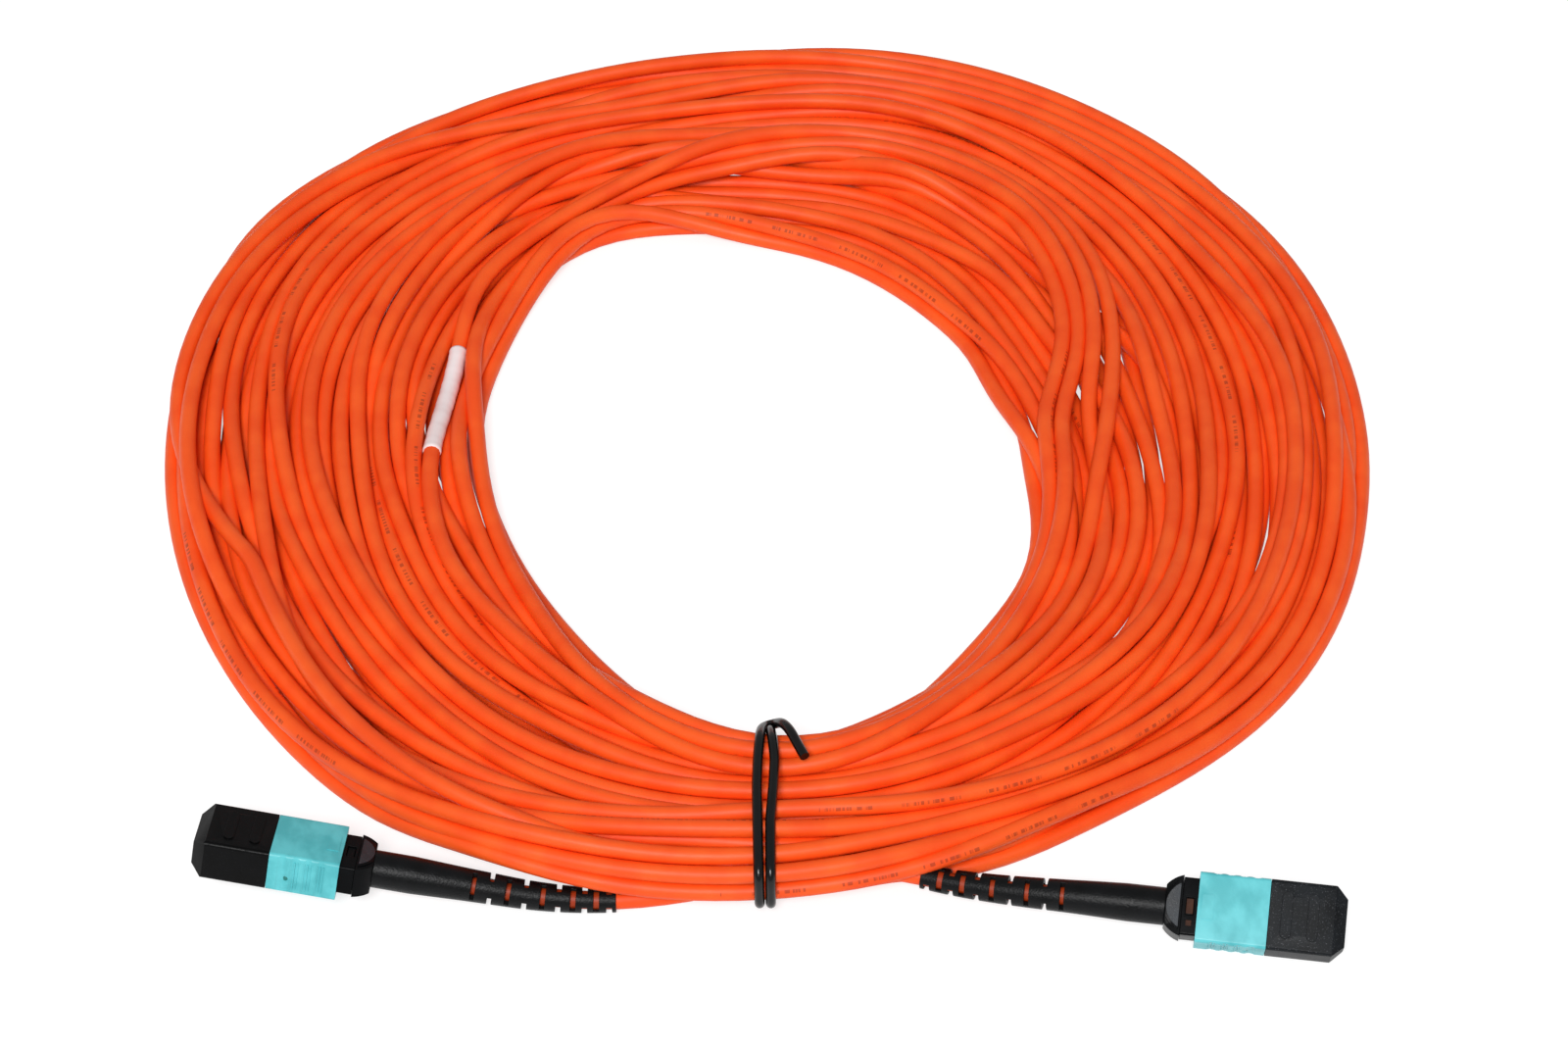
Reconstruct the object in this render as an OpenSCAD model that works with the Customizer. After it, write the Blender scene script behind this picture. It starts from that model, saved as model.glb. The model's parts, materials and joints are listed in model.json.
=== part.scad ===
// Multi-fibre patch cord: a round fibre cord wound in one flat coil and tied at the
// front, with a push-on 12-fibre plug, a slotted boot and a dust cap at each end.
//
// Frame: +Z up, the floor is z = 0, the origin lies on the floor midway between the
// two plugs. The coil lies behind the plugs, towards +Y.
// Each plug is drawn in its own frame: +X points out of the nose, the front edge of
// the sliding housing is x = 0, Y is across the wide face and Z is its thickness.

/* [Cord] */
// Outer diameter of the cord's jacket
cable_d = 3.2; // [2.8:0.1:3.8]
// Loops of the coil in each of its layers
loops_per_layer = 6; // [4:1:6]
// Layers of the coil
coil_layers = 4; // [2:2:4]
// Free gap between one layer of the coil and the next
layer_gap = 0.45; // [0.42:0.01:0.8]
// Free gap between one loop and the next where the tie draws them together
loop_gap = 0.72; // [0.6:0.02:1.2]
// Diameter of the tie's coated wire
tie_d = 1.5; // [1.2:0.1:1.8]
// Wall of the label sleeve
label_wall = 0.3; // [0.2:0.05:0.5]
// Length of the label sleeve, counted in the coil's rings
label_steps = 1.9; // [1:0.1:3]

/* [Ferrule] */
// Width of the ferrule's nose
ferrule_w = 6.4; // [6:0.1:7.7]
// Thickness of the ferrule's nose
ferrule_h = 2.5; // [2.4:0.1:3]
// Length of the ferrule
ferrule_len = 8; // [6.6:0.1:9.6]
// Diameter of the two guide holes
guide_d = 0.7; // [0.6:0.01:0.8]
// Distance between the guide holes
guide_pitch = 4.6; // [4.5:0.05:5.4]
// Diameter of one bare fibre
fibre_d = 0.125; // [0.1:0.005:0.15]
// Distance from one fibre to the next
fibre_pitch = 0.25; // [0.24:0.005:0.26]
// How far the ferrule's flange stands out on each side
flange_step = 0.45; // [0.3:0.05:0.55]
// Length of the ferrule's flange
flange_len = 1.9; // [1.5:0.1:2.3]

/* [Inner housing] */
// Wall beside the ferrule
nose_wall_w = 1.65; // [1.4:0.05:2]
// Wall above and below the ferrule
nose_wall_h = 1.3; // [1.2:0.05:1.6]
// How far the nose stands out of the sliding housing
nose_len = 4.6; // [3.8:0.1:5.6]
// How far the ferrule stands out of the nose
ferrule_proud = 0.8; // [0.4:0.1:1]
// Width of the key on the nose
key_w = 3; // [2.4:0.1:3.6]
// Height of the key
key_h = 0.65; // [0.4:0.05:0.7]
// Side wall of the spring chamber
chamber_wall_w = 0.9; // [0.85:0.05:1.1]
// Wall of the spring chamber above and below
chamber_wall_h = 0.8; // [0.6:0.05:0.95]

/* [Sliding housing] */
// Length of the sliding housing
housing_len = 12; // [10:0.1:14.4]
// Side wall of the sliding housing
housing_wall_w = 1; // [0.9:0.05:1.3]
// Wall of the sliding housing above and below
housing_wall_h = 0.9; // [0.7:0.05:1.2]
// How far the sliding housing can be pulled back
housing_travel = 2.2; // [1.6:0.1:2.7]
// Depth of the grip scallops
grip_depth = 0.25; // [0.1:0.05:0.3]
// Distance from one grip scallop to the next
grip_pitch = 2.2; // [1.8:0.1:2.6]

/* [Dust cap] */
// Length of the dust cap
cap_len = 13.1; // [11:0.1:15.8]
// Thickness of the cap's end wall
cap_end_wall = 1.2; // [0.8:0.1:1.6]
// Length of the chamfer at the cap's end
cap_chamfer = 2.1; // [1.4:0.1:2.5]

/* [Rear body] */
// How far the half-round shoulders stand out beside the body
shoulder_step = 0.45; // [0.3:0.05:1]
// Length of the shoulders along the plug
shoulder_len = 2.9; // [2.4:0.1:3.5]
// Outer diameter of the crimp post
post_d = 4.2; // [4:0.1:5.2]
// Bore of the rear body, for the ribbon
post_bore_d = 3.4; // [3.2:0.1:3.5]
// Length of the crimp post
post_len = 6; // [5:0.1:7.2]
// Thickness of the strength yarn over the post
yarn_wall = 0.22; // [0.15:0.01:0.26]
// Wall of the crimp ring
crimp_wall = 0.33; // [0.25:0.01:0.4]
// Length of the crimp ring's narrow end
crimp_tail = 3.6; // [3:0.1:4.3]

/* [Boot] */
// Length of the strain-relief boot
boot_len = 42; // [35:0.5:50]
// Wall of the boot at the plug
boot_root_wall = 0.36; // [0.3:0.02:0.6]
// Wall of the boot where its slots start
boot_mid_wall = 1.05; // [0.8:0.05:1.3]
// Wall of the boot at the cord's end
boot_end_wall = 0.35; // [0.3:0.05:0.8]
// Length of one slot along the boot
slot_len = 1.1; // [0.9:0.05:1.3]
// Width of one slot across the boot
slot_w = 3.2; // [2.6:0.1:3.4]

/* [Springs] */
// Wire of the main spring
main_wire = 0.4; // [0.3:0.02:0.48]
// Curls of the main spring
main_curls = 5; // [4:1:6]
// Wire of a coupling spring
coupling_wire = 0.2; // [0.15:0.01:0.22]
// Outer diameter of a coupling spring
coupling_spring_d = 1.1; // [1:0.02:1.16]
// Curls of a coupling spring
coupling_curls = 9; // [7:1:10]

/* [Hidden] */
$fn = 48;
eps = 0.01;

// --- clearances ---
slide_gap = 0.1;      // sliding housing to inner housing, each side
ferrule_gap = 0.05;   // ferrule to its channel, each side
cap_gap = 0.05;       // dust cap to nose, each side
seat_gap = 0.05;      // end faces that rest on each other
push_gap = 0.1;       // rear body to spring chamber, each side
groove_gap = 0.07;    // coupling spring to its groove, all round
crimp_gap = 0.03;     // crimped layers, all round
jacket_gap = 0.06;    // crimp ring to jacket, all round
bore_gap = 0.2;       // boot to what it covers, all round
sleeve_gap = 0.02;    // soft sleeve to its seat, each side
clamp_step = 0.1;     // clamp's section, smaller than the ferrule's flange
label_gap = 0.12;     // label sleeve to the cord, all round
tie_gap = 0.5;        // tie to the outermost cords

// --- plug, along x ---
ferrule_front = nose_len + ferrule_proud;
ferrule_rear = ferrule_front - ferrule_len;
clamp_len = 1.8;
clamp_front = ferrule_rear - seat_gap;
clamp_rear = clamp_front - clamp_len;
flange_front = ferrule_rear + flange_len;
channel_rear = flange_front + seat_gap;
block_len = housing_travel + 0.4;
body_rear = -housing_len - block_len;
push_front = -housing_len + 2.4;
latch_x = body_rear + 1.3;
shoulder_rear = body_rear - shoulder_len;
post_rear = shoulder_rear - post_len;
crimp_front = shoulder_rear - 0.2;
crimp_step = post_rear;
crimp_rear = crimp_step - crimp_tail;
jacket_front = post_rear - 0.4;
ribbon_rear = post_rear + 0.95;
ribbon_front = ferrule_front - 4.4;

// --- plug, across ---
nose_w = ferrule_w + 2 * ferrule_gap + 2 * nose_wall_w;
nose_h = ferrule_h + 2 * ferrule_gap + 2 * nose_wall_h;
body_w = nose_w + 0.2;
body_h = nose_h + 0.4;
chamber_w = body_w - 2 * chamber_wall_w;
chamber_h = body_h - 2 * chamber_wall_h;
housing_w = body_w + 2 * slide_gap + 2 * housing_wall_w;
housing_h = body_h + 2 * slide_gap + 2 * housing_wall_h;
housing_r = 0.7;
key_front = nose_len - 1.2;
ribbon_w = 12 * fibre_pitch;
ribbon_h = 0.3;
sleeve_w = ribbon_w + 0.5;
sleeve_h = ribbon_h + 0.8;
sleeve_front = ferrule_rear + 2.4;
sleeve_rear = clamp_rear - 0.9;
yarn_d = post_d + 2 * crimp_gap + 2 * yarn_wall;
crimp_d = yarn_d + 2 * crimp_gap + 2 * crimp_wall;
crimp_tail_d = cable_d + 2 * jacket_gap + 2 * crimp_wall;
shoulder_w = body_w + 2 * shoulder_step;
shoulder_h = body_h + 0.6;
boot_bore_d = cable_d + 2 * bore_gap;
boot_root_d = crimp_d + 2 * bore_gap + 2 * boot_root_wall;
boot_mid_d = boot_bore_d + 2 * boot_mid_wall;
boot_end_d = boot_bore_d + 2 * boot_end_wall;
spring_y = (body_w + slide_gap) / 2;
groove_r = coupling_spring_d / 2 + groove_gap;
coupling_spring_front = -2.2;
coupling_spring_rear = -housing_len + 3.1;

// --- small details ---
bar_d = 1.8;             // width of the cap's grip bars
bar_len = 8;             // their length across the cap
bar_marks = [2.9, 7.4];  // their distances from the cap's mouth
bar_proud = 0.25;
cap_cut_w = 2;           // corners cut off the cap's end, seen from above
cap_cut_h = 1.6;         // and seen from the side
scallops = 4;
scallop_r = 1.5;
scallop_x = 3;           // first grip scallop, from the sliding housing's rear edge
dot_d = 0.9;             // small blind dimple on each narrow side
dot_at = [-3.2, -0.8];
pad_len = 2;             // raised pad on each wide face, near the rear edge
pad_w = 4.2;
pad_proud = 0.15;
pad_x = -housing_len + 0.7;
latch_w = 3;
latch_len = 1.5;
groove_marks = [1.2, 2.8, 4.4];  // yarn grooves on the crimp post, from its rear end

// --- where the plugs lie ---
// [nose plane x, y], heading of the nose, roll, boot's turn, boot end's height, slot roll,
// rise of the nose, length of the boot that stays in line with the plug
plug_a = [[-84.4, 5.97], 174.7, 15, 6.6, boot_end_d / 2 + 0.05, 45, 8.9, 24];
plug_b = [[85.6, -5.4], -8, 30, -8.5, 4.2, -45, 0, 10];
boot_ring_end = post_len + crimp_wall + 0.3;
slot_marks = [1.2, 3.4, 5.4, 7.4, 9.9, 12.6, 15.6, 18.6, 21.6, 24.6];

// --- the coil ---
// Its band, as the outermost and innermost cord's distance from the centre, every 30
// degrees from +X, and the bundle's place in the tie at 270 degrees.
coil_centre = [0, 119.5];
coil_outer = [114, 114, 117, 114.5, 115, 119, 114, 116, 114.5, 108, 115.5, 116];
tied_inner = coil_outer[9] - loops_per_layer * (cable_d + loop_gap);
coil_inner = [50, 46, 45.5, 51, 61, 57.5, 55.6, 60, 70, tied_inner, 74, 58.6];
coil_start = 290;
coil_end = 240;
rings_per_loop = 24;
coil_sides = 6;
layer_step = cable_d + layer_gap;
coil_floor = cable_d / 2 * cos(180 / coil_sides);
tie_x = 0.8;
tie_lift = tie_d + 0.4;

// --- routes of the free stretches, from boot to coil and from coil to boot ---
route_a = [[-12, 4, 1.6], [0.8, 6, 3.4], [14, 6.5, 1.8], [27, 8.6, 1.5]];
route_b = [[-45, 13.1, 11.4], [-30, 8.4, 9], [-14, 7.4, 7.2], [0.8, 7.8, 6.3], [14, 7.4, 5.1]];
tail_sides = 8;

// ---------------------------------------------------------------- functions

function unit(v) = v / norm(v);

function mix(a, b, k) = a + (b - a) * k;

function smooth_step(k) = let (c = min(1, max(0, k))) c * c * (3 - 2 * c);

// A cubic through four values, between the second and third.
function cubic(a, b, c, d, k) =
    b + k * ((c - a) / 2 + k * (a - 2.5 * b + 2 * c - d / 2 + k * (1.5 * (b - c) + (d - a) / 2)));

// A smooth line through points, with steps on each span.
function smooth_line(p, steps) =
    let (n = len(p) - 1)
    concat(
        [for (i = [0 : n - 1], j = [0 : steps - 1])
            cubic(p[max(0, i - 1)], p[i], p[i + 1], p[min(n, i + 2)], j / steps)],
        [p[n]]
    );

// A value from a ring of values spaced evenly round the circle.
function around(ring, angle) =
    let (n = len(ring), at = (angle / 360 - floor(angle / 360)) * n, i = floor(at))
    cubic(ring[(i + n - 1) % n], ring[i % n], ring[(i + 1) % n], ring[(i + 2) % n], at - i);

// The direction of a line at each of its points.
function headings(p) =
    let (n = len(p) - 1)
    [for (i = [0 : n]) unit(p[min(n, i + 1)] - p[max(0, i - 1)])];

// The corners of one ring, square to a direction, with a flat that faces down where
// ref is up. None reaches below the lowest height.
function ring_points(at, heading, ref, radius, sides, lowest) =
    let (a = unit(cross(heading, ref)), b = cross(a, heading))
    [for (i = [0 : sides - 1])
        let (q = (i + 0.5) * 360 / sides - 90, p = at + radius * (cos(q) * a + sin(q) * b))
        [p.x, p.y, max(lowest, p.z)]];

// Triangles that join rings of points one after the other.
function wall_faces(rings, sides) =
    [for (i = [0 : rings - 2], j = [0 : sides - 1])
        let (
            a = i * sides + j,
            b = i * sides + (j + 1) % sides,
            c = b + sides,
            d = a + sides
        )
        each [[a, b, d], [b, c, d]]];

function end_faces(first, sides, flip) =
    [for (j = [1 : sides - 2])
        flip ? [first, first + j + 1, first + j] : [first, first + j, first + j + 1]];

// Where the coil is after a number of loops: it spirals in and out again at a steady
// rate, and climbs a layer in the half turn where the spiral reverses.
function coil_share(loop) =
    let (layer = floor(loop / loops_per_layer), part = loop / loops_per_layer - layer)
    layer % 2 == 0 ? part : 1 - part;

function coil_height(loop) =
    let (climbs = [for (k = [1 : coil_layers - 1]) smooth_step((loop - k * loops_per_layer) * 2 + 0.5)])
    coil_floor + layer_step * (climbs * [for (k = climbs) 1]);

// The bundle rises over the tie's wire.
function lift(angle) =
    let (away = abs((angle % 360) - 270))
    tie_lift * (1 - smooth_step((away - 10) / 10));

function coil_point(loop) =
    let (
        angle = coil_start + 360 * loop,
        r = mix(around(coil_outer, angle), around(coil_inner, angle), coil_share(loop))
    )
    [
        coil_centre.x + r * cos(angle),
        coil_centre.y + r * sin(angle),
        coil_height(loop) + lift(angle)
    ];

coil_loops = coil_layers * loops_per_layer + (coil_end - coil_start) / 360;
coil_rings = floor(coil_loops * rings_per_loop);
coil_line = [for (i = [0 : coil_rings]) coil_point(i / rings_per_loop)];
coil_in = unit(coil_line[1] - coil_line[0]);
coil_out = unit(coil_line[coil_rings] - coil_line[coil_rings - 1]);
// The ends run straight for one diameter.
coil_path = concat(
    [coil_line[0] - cable_d * coil_in],
    coil_line,
    [coil_line[coil_rings] + cable_d * coil_out]
);

// The least gap between one turn and any other, measured between the rings' centres.
coil_least_gap = min([
    for (i = [0 : coil_rings], k = [1 : coil_layers * loops_per_layer], s = [-1 : 1])
        let (j = i + k * rings_per_loop + s)
        if (j <= coil_rings) norm(coil_line[i] - coil_line[j])
]) - cable_d;
echo(str("least gap of the coil to itself: ", coil_least_gap, " mm"));

// Where each loop passes the tie.
tie_crossings = [for (i = [0 : coil_rings - 1])
    let (a = coil_line[i], b = coil_line[i + 1])
    if (a.y < coil_centre.y && a.x <= tie_x && b.x > tie_x)
        mix(a, b, (tie_x - a.x) / (b.x - a.x))];

// The label sits on the last layer, at the coil's left side.
label_centre = ((coil_layers - 1) * loops_per_layer + 0.696) * rings_per_loop;

function coil_chord(at) = mix(coil_line[floor(at)], coil_line[floor(at) + 1], at - floor(at));

// The height of a plug's axis when its edge rests on the floor.
function rest_height(roll) =
    (housing_w / 2 - housing_r) * sin(roll) + (housing_h / 2 - housing_r) * cos(roll) + housing_r;

function plug_axis(plug) =
    [cos(plug[1]) * cos(plug[6]), sin(plug[1]) * cos(plug[6]), sin(plug[6])];

// A plug lies on its housing's edge, or its boot holds it up where the nose rises.
function plug_origin(plug) = [
    plug[0].x,
    plug[0].y,
    plug[6] == 0
        ? rest_height(plug[2])
        : plug[4] + sin(plug[6]) * ((boot_len + plug[7]) / 2 - shoulder_rear)
];

// A point of the boot's own line, at a distance from its root, which turns and sinks
// evenly past its straight part.
function boot_point(plug, s) =
    let (
        root = plug_origin(plug) + shoulder_rear * plug_axis(plug),
        bent = max(0, s - plug[7]),
        reach = boot_len - plug[7],
        turn = plug[3] * bent / reach,
        ahead = min(s, plug[7]) * cos(plug[6]) + bent * (1 - pow(turn * PI / 180, 2) / 6),
        aside = bent * turn * PI / 360,
        fall = sin(plug[6]) * (min(s, plug[7]) + bent - bent * bent / reach / 2),
        last_z = root.z - sin(plug[6]) * (boot_len + plug[7]) / 2
    )
    root
        - ahead * [cos(plug[1]), sin(plug[1]), 0]
        - aside * [-sin(plug[1]), cos(plug[1]), 0]
        + [0, 0, (plug[4] - last_z) * smooth_step(bent / reach) - fall];

// The boot is straight over the crimp ring, and tapers from there to its slots and
// more gently to its end.
function boot_radius(s) =
    let (slots_start = boot_len - slot_marks[9] - slot_len)
    s < boot_ring_end ? boot_root_d / 2
        : s < slots_start
            ? mix(boot_root_d, boot_mid_d, (s - boot_ring_end) / (slots_start - boot_ring_end)) / 2
            : mix(boot_mid_d, boot_end_d, (s - slots_start) / (boot_len - slots_start)) / 2;

// The cord's free stretches, from the front of the jacket in each boot.
jacket_start = shoulder_rear - jacket_front;
tail_a_path = concat(
    [for (i = [0 : 4]) boot_point(plug_a, mix(jacket_start, boot_len, i / 5))],
    smooth_line(concat([boot_point(plug_a, boot_len)], route_a, [coil_path[0]]), 2)
);
tail_b_path = concat(
    smooth_line(concat([coil_path[len(coil_path) - 1]], route_b, [boot_point(plug_b, boot_len)]), 2),
    [for (i = [4 : -1 : 0]) boot_point(plug_b, mix(jacket_start, boot_len, i / 5))]
);

// ------------------------------------------------------------ shared modules

// A closed tube along a line, of one radius or of one for each point. Its end faces
// are square to the given directions.
module tube(path, radius, sides, ref = [0, 0, 1], first = undef, last = undef, lowest = 0) {
    n = len(path);
    along = headings(path);
    ends = [is_undef(first) ? along[0] : first, is_undef(last) ? along[n - 1] : last];
    radii = is_list(radius) ? radius : [for (p = path) radius];
    points = [for (i = [0 : n - 1])
        let (heading = i == 0 ? ends[0] : i == n - 1 ? ends[1] : along[i])
        each ring_points(path[i], heading, ref, radii[i], sides, lowest)];
    faces = concat(
        end_faces(0, sides, true),
        wall_faces(n, sides),
        end_faces((n - 1) * sides, sides, false)
    );
    polyhedron(points, faces, convexity = 12);
}

// A helix along x, with an oval section of the given half sizes.
module spring(x0, x1, half_w, half_h, wire, curls, rings) {
    n = curls * rings;
    path = [for (i = [0 : n])
        [mix(x0 + wire / 2, x1 - wire / 2, i / n),
            (half_w - wire / 2) * cos(360 * i / rings),
            (half_h - wire / 2) * sin(360 * i / rings)]];
    tube(path, wire / 2, 6, [1, 0, 0], lowest = -housing_w);
}

module rounded_rect(w, h, r) {
    square([w - 2 * r, h], center = true);
    square([w, h - 2 * r], center = true);
    for (x = [-1, 1], y = [-1, 1])
        translate([x * (w / 2 - r), y * (h / 2 - r)]) circle(r);
}

// Extrudes a section drawn in Y and Z from x0 to x1.
module along_x(x0, x1) {
    translate([x0, 0, 0]) rotate([90, 0, 90]) linear_extrude(x1 - x0) children();
}

module block(x0, x1, w, h) {
    translate([x0, -w / 2, -h / 2]) cube([x1 - x0, w, h]);
}

module rod(x0, x1, d) {
    translate([x0, 0, 0]) rotate([0, 90, 0]) cylinder(d = d, h = x1 - x0);
}

// Puts a plug's own frame in its place.
module place(plug) {
    translate(plug_origin(plug))
        rotate([0, -plug[6], plug[1]])
            rotate([plug[2], 0, 0])
                children();
}

// ------------------------------------------------------------- the plug's pieces

module dust_cap() {
    mouth = slide_gap;
    reach = ferrule_front + 0.8;
    color("#1c1c1e")
    difference() {
        union() {
            intersection() {
                along_x(mouth, cap_len + mouth) rounded_rect(housing_w, housing_h, housing_r);
                cap_profile(housing_w, housing_h + 2, cap_cut_w, mouth);
                rotate([90, 0, 0]) cap_profile(housing_h, housing_w + 2, cap_cut_h, mouth);
            }
            for (side = [-1, 1], x = bar_marks)
                translate([mouth + x, 0, side * housing_h / 2]) grip_bar(bar_d, bar_len, 2 * bar_proud);
        }
        along_x(0, reach) rounded_rect(nose_w + 2 * cap_gap, nose_h + 2 * cap_gap, 0.4);
        block(0, nose_len, key_w + 4 * cap_gap, 2 * (nose_h / 2 + key_h + cap_gap));
        block(reach - eps, cap_len + mouth - cap_end_wall, ferrule_w + 0.8, ferrule_h + 0.8);
    }
}

// The cap's outline from above, with its end corners cut off.
module cap_profile(w, depth, cut, mouth) {
    x1 = cap_len + mouth;
    translate([0, 0, -depth / 2])
        linear_extrude(depth)
            polygon([
                [0, -w / 2], [x1 - cap_chamfer, -w / 2], [x1, -w / 2 + cut],
                [x1, w / 2 - cut], [x1 - cap_chamfer, w / 2], [0, w / 2],
            ]);
}

// A bar with round ends, across the wide face.
module grip_bar(w, length, height) {
    for (y = [-1, 1])
        translate([0, y * (length - w) / 2, -height / 2]) cylinder(d = w, h = height);
    translate([-w / 2, -(length - w) / 2, -height / 2]) cube([w, length - w, height]);
}

module coupling_housing() {
    color("#5cc0bf")
    difference() {
        union() {
            along_x(-housing_len, 0) rounded_rect(housing_w, housing_h, housing_r);
            raised_pads();
        }
        along_x(-housing_len - 1, 1)
            rounded_rect(body_w + 2 * slide_gap, body_h + 2 * slide_gap, 0.4);
        for (side = [-1, 1]) {
            translate([0, side * spring_y, 0]) rod(-housing_len - 1, coupling_spring_front, 2 * groove_r);
            for (i = [0 : scallops - 1])
                translate([
                    -housing_len + scallop_x + i * grip_pitch,
                    side * (housing_w / 2 + scallop_r - grip_depth), 0
                ])
                    cylinder(r = scallop_r, h = housing_h + 1, center = true);
            translate([dot_at.x, side * housing_w / 2, dot_at.y]) rotate([90, 0, 0])
                cylinder(d = dot_d, h = 0.5, center = true);
        }
    }
}

// The small raised pad on each wide face.
module raised_pads() {
    for (side = [-1, 1])
        translate([pad_x, -pad_w / 2, side * housing_h / 2 - pad_proud])
            cube([pad_len, pad_w, 2 * pad_proud]);
}

module coupling_springs() {
    color("#b8bcc0")
    for (side = [-1, 1])
        translate([0, side * spring_y, 0])
            spring(
                coupling_spring_rear + 2 * seat_gap, coupling_spring_front - 2 * seat_gap,
                coupling_spring_d / 2, coupling_spring_d / 2, coupling_wire, coupling_curls, 8
            );
}

module inner_housing() {
    color("#222224")
    difference() {
        union() {
            along_x(-1, nose_len) rounded_rect(nose_w, nose_h, 0.4);
            along_x(body_rear, -0.3) rounded_rect(body_w, body_h, 0.4);
            translate([slide_gap, -key_w / 2, 0]) cube([key_front, key_w, nose_h / 2 + key_h]);
        }
        block(channel_rear - 1, nose_len + 1, ferrule_w + 2 * ferrule_gap, ferrule_h + 2 * ferrule_gap);
        block(body_rear - 1, channel_rear, chamber_w, chamber_h);
        for (side = [-1, 1])
            translate([0, side * spring_y, 0])
                rod(coupling_spring_rear, coupling_spring_front + 0.3, 2 * groove_r);
        block(latch_x - latch_len / 2, latch_x + latch_len / 2, latch_w, body_h + 1);
    }
}

module ferrule() {
    color("#26272b")
    difference() {
        union() {
            block(ferrule_rear, ferrule_front, ferrule_w, ferrule_h);
            block(ferrule_rear, flange_front, ferrule_w + 2 * flange_step, ferrule_h + 2 * flange_step);
        }
        for (side = [-1, 1])
            translate([0, side * guide_pitch / 2, 0]) rod(ferrule_rear - 1, ferrule_front + 1, guide_d);
        for (i = [0 : 11])
            translate([0, (i - 5.5) * fibre_pitch, 0])
                rod(ribbon_front - 1, ferrule_front + 1, fibre_d + 0.016);
        block(ferrule_rear - 1, ribbon_front + 0.02, ribbon_w + 0.04, ribbon_h + 0.04);
        block(
            ferrule_rear - 1, sleeve_front + sleeve_gap,
            sleeve_w + 2 * sleeve_gap, sleeve_h + 2 * sleeve_gap
        );
        translate([ribbon_front - 1, -1.6, 0]) cube([1.8, 3.2, ferrule_h]);
    }
}

module pin_clamp() {
    color("#c9b88a")
    difference() {
        block(
            clamp_rear, clamp_front,
            ferrule_w + 2 * flange_step - clamp_step, ferrule_h + 2 * flange_step - clamp_step
        );
        block(clamp_rear - 1, clamp_front + 1, sleeve_w + 0.4, sleeve_h + 0.3);
    }
}

module ferrule_boot() {
    color("#3a3a3c")
    difference() {
        block(sleeve_rear, sleeve_front, sleeve_w, sleeve_h);
        block(sleeve_rear - 1, sleeve_front + 1, ribbon_w + 0.04, ribbon_h + 0.04);
    }
}

module fibre_ribbon() {
    color("#dfe6ea") {
        block(ribbon_rear, ribbon_front, ribbon_w, ribbon_h);
        for (i = [0 : 11])
            translate([0, (i - 5.5) * fibre_pitch, 0]) rod(ribbon_front - 0.2, ferrule_front, fibre_d);
    }
}

module main_spring() {
    color("#b8bcc0")
    spring(
        push_front + seat_gap, clamp_rear - seat_gap,
        chamber_w / 2 - 0.6, chamber_h / 2 - 0.3, main_wire, main_curls, 16
    );
}

module spring_push() {
    in_w = chamber_w - 2 * push_gap;
    in_h = chamber_h - 2 * push_gap;
    disc_x = shoulder_rear + 4.3;
    color("#202022")
    difference() {
        union() {
            block(body_rear - 1, push_front, in_w, in_h);
            block(
                latch_x - latch_len / 2 + 0.15, latch_x + latch_len / 2 - 0.15,
                latch_w - 2 * push_gap, in_h + 2 * push_gap + 2 * chamber_wall_h - 0.5
            );
            intersection() {
                translate([disc_x, 0, 0]) cylinder(d = shoulder_w, h = shoulder_h - 0.4, center = true);
                block(shoulder_rear, body_rear - seat_gap, shoulder_w + 1, shoulder_h);
            }
            intersection() {
                translate([disc_x, 0, 0]) cylinder(d = shoulder_w - 1.6, h = shoulder_h, center = true);
                block(shoulder_rear + 0.1, body_rear - 0.4, shoulder_w + 1, shoulder_h);
            }
            rod(post_rear, shoulder_rear + 0.5, post_d);
        }
        rod(post_rear - 1, push_front + 1, post_bore_d);
        for (x = groove_marks)
            translate([post_rear + x, 0, 0]) rotate([0, 90, 0])
                rotate_extrude() translate([post_d / 2 - 0.12, 0]) square([1, 0.5]);
    }
}

module aramid_sleeve() {
    color("#e2c64a")
    difference() {
        rod(post_rear + 0.1, crimp_front, yarn_d);
        rod(post_rear - 1, crimp_front + 1, post_d + 2 * crimp_gap);
    }
}

module crimp_ring() {
    big = crimp_d / 2;
    small = crimp_tail_d / 2;
    color("#aab0b6")
    rotate([0, 90, 0])
        rotate_extrude()
            polygon([
                [yarn_d / 2 + crimp_gap, crimp_front], [big, crimp_front], [big, crimp_step - crimp_wall],
                [small, crimp_step - crimp_wall], [small, crimp_rear],
                [small - crimp_wall, crimp_rear], [small - crimp_wall, crimp_step],
                [yarn_d / 2 + crimp_gap, crimp_step],
            ]);
}

module strain_boot(plug) {
    sides = 16;
    steps = 12;
    marks = [for (i = [0 : steps]) boot_len * i / steps];
    // Each stage of the bore is a distance from the root and a radius.
    tail_end = shoulder_rear - crimp_rear + 0.3;
    bore = concat(
        [
            [-1, crimp_d / 2 + bore_gap],
            [boot_ring_end, crimp_d / 2 + bore_gap],
            [boot_ring_end + 0.3, crimp_tail_d / 2 + bore_gap],
            [tail_end, crimp_tail_d / 2 + bore_gap],
        ],
        [for (i = [0 : 7]) [mix(tail_end + 0.7, boot_len + 1, i / 7), boot_bore_d / 2]]
    );
    color("#19191b")
    difference() {
        tube([for (s = marks) boot_point(plug, s)], [for (s = marks) boot_radius(s)], sides);
        tube([for (b = bore) boot_point(plug, b[0])], [for (b = bore) b[1]], sides, lowest = -1);
        for (i = [0 : len(slot_marks) - 1])
            slot_at(plug, boot_len - slot_marks[i], i) cube([slot_len, slot_w, 8], center = true);
    }
}

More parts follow.
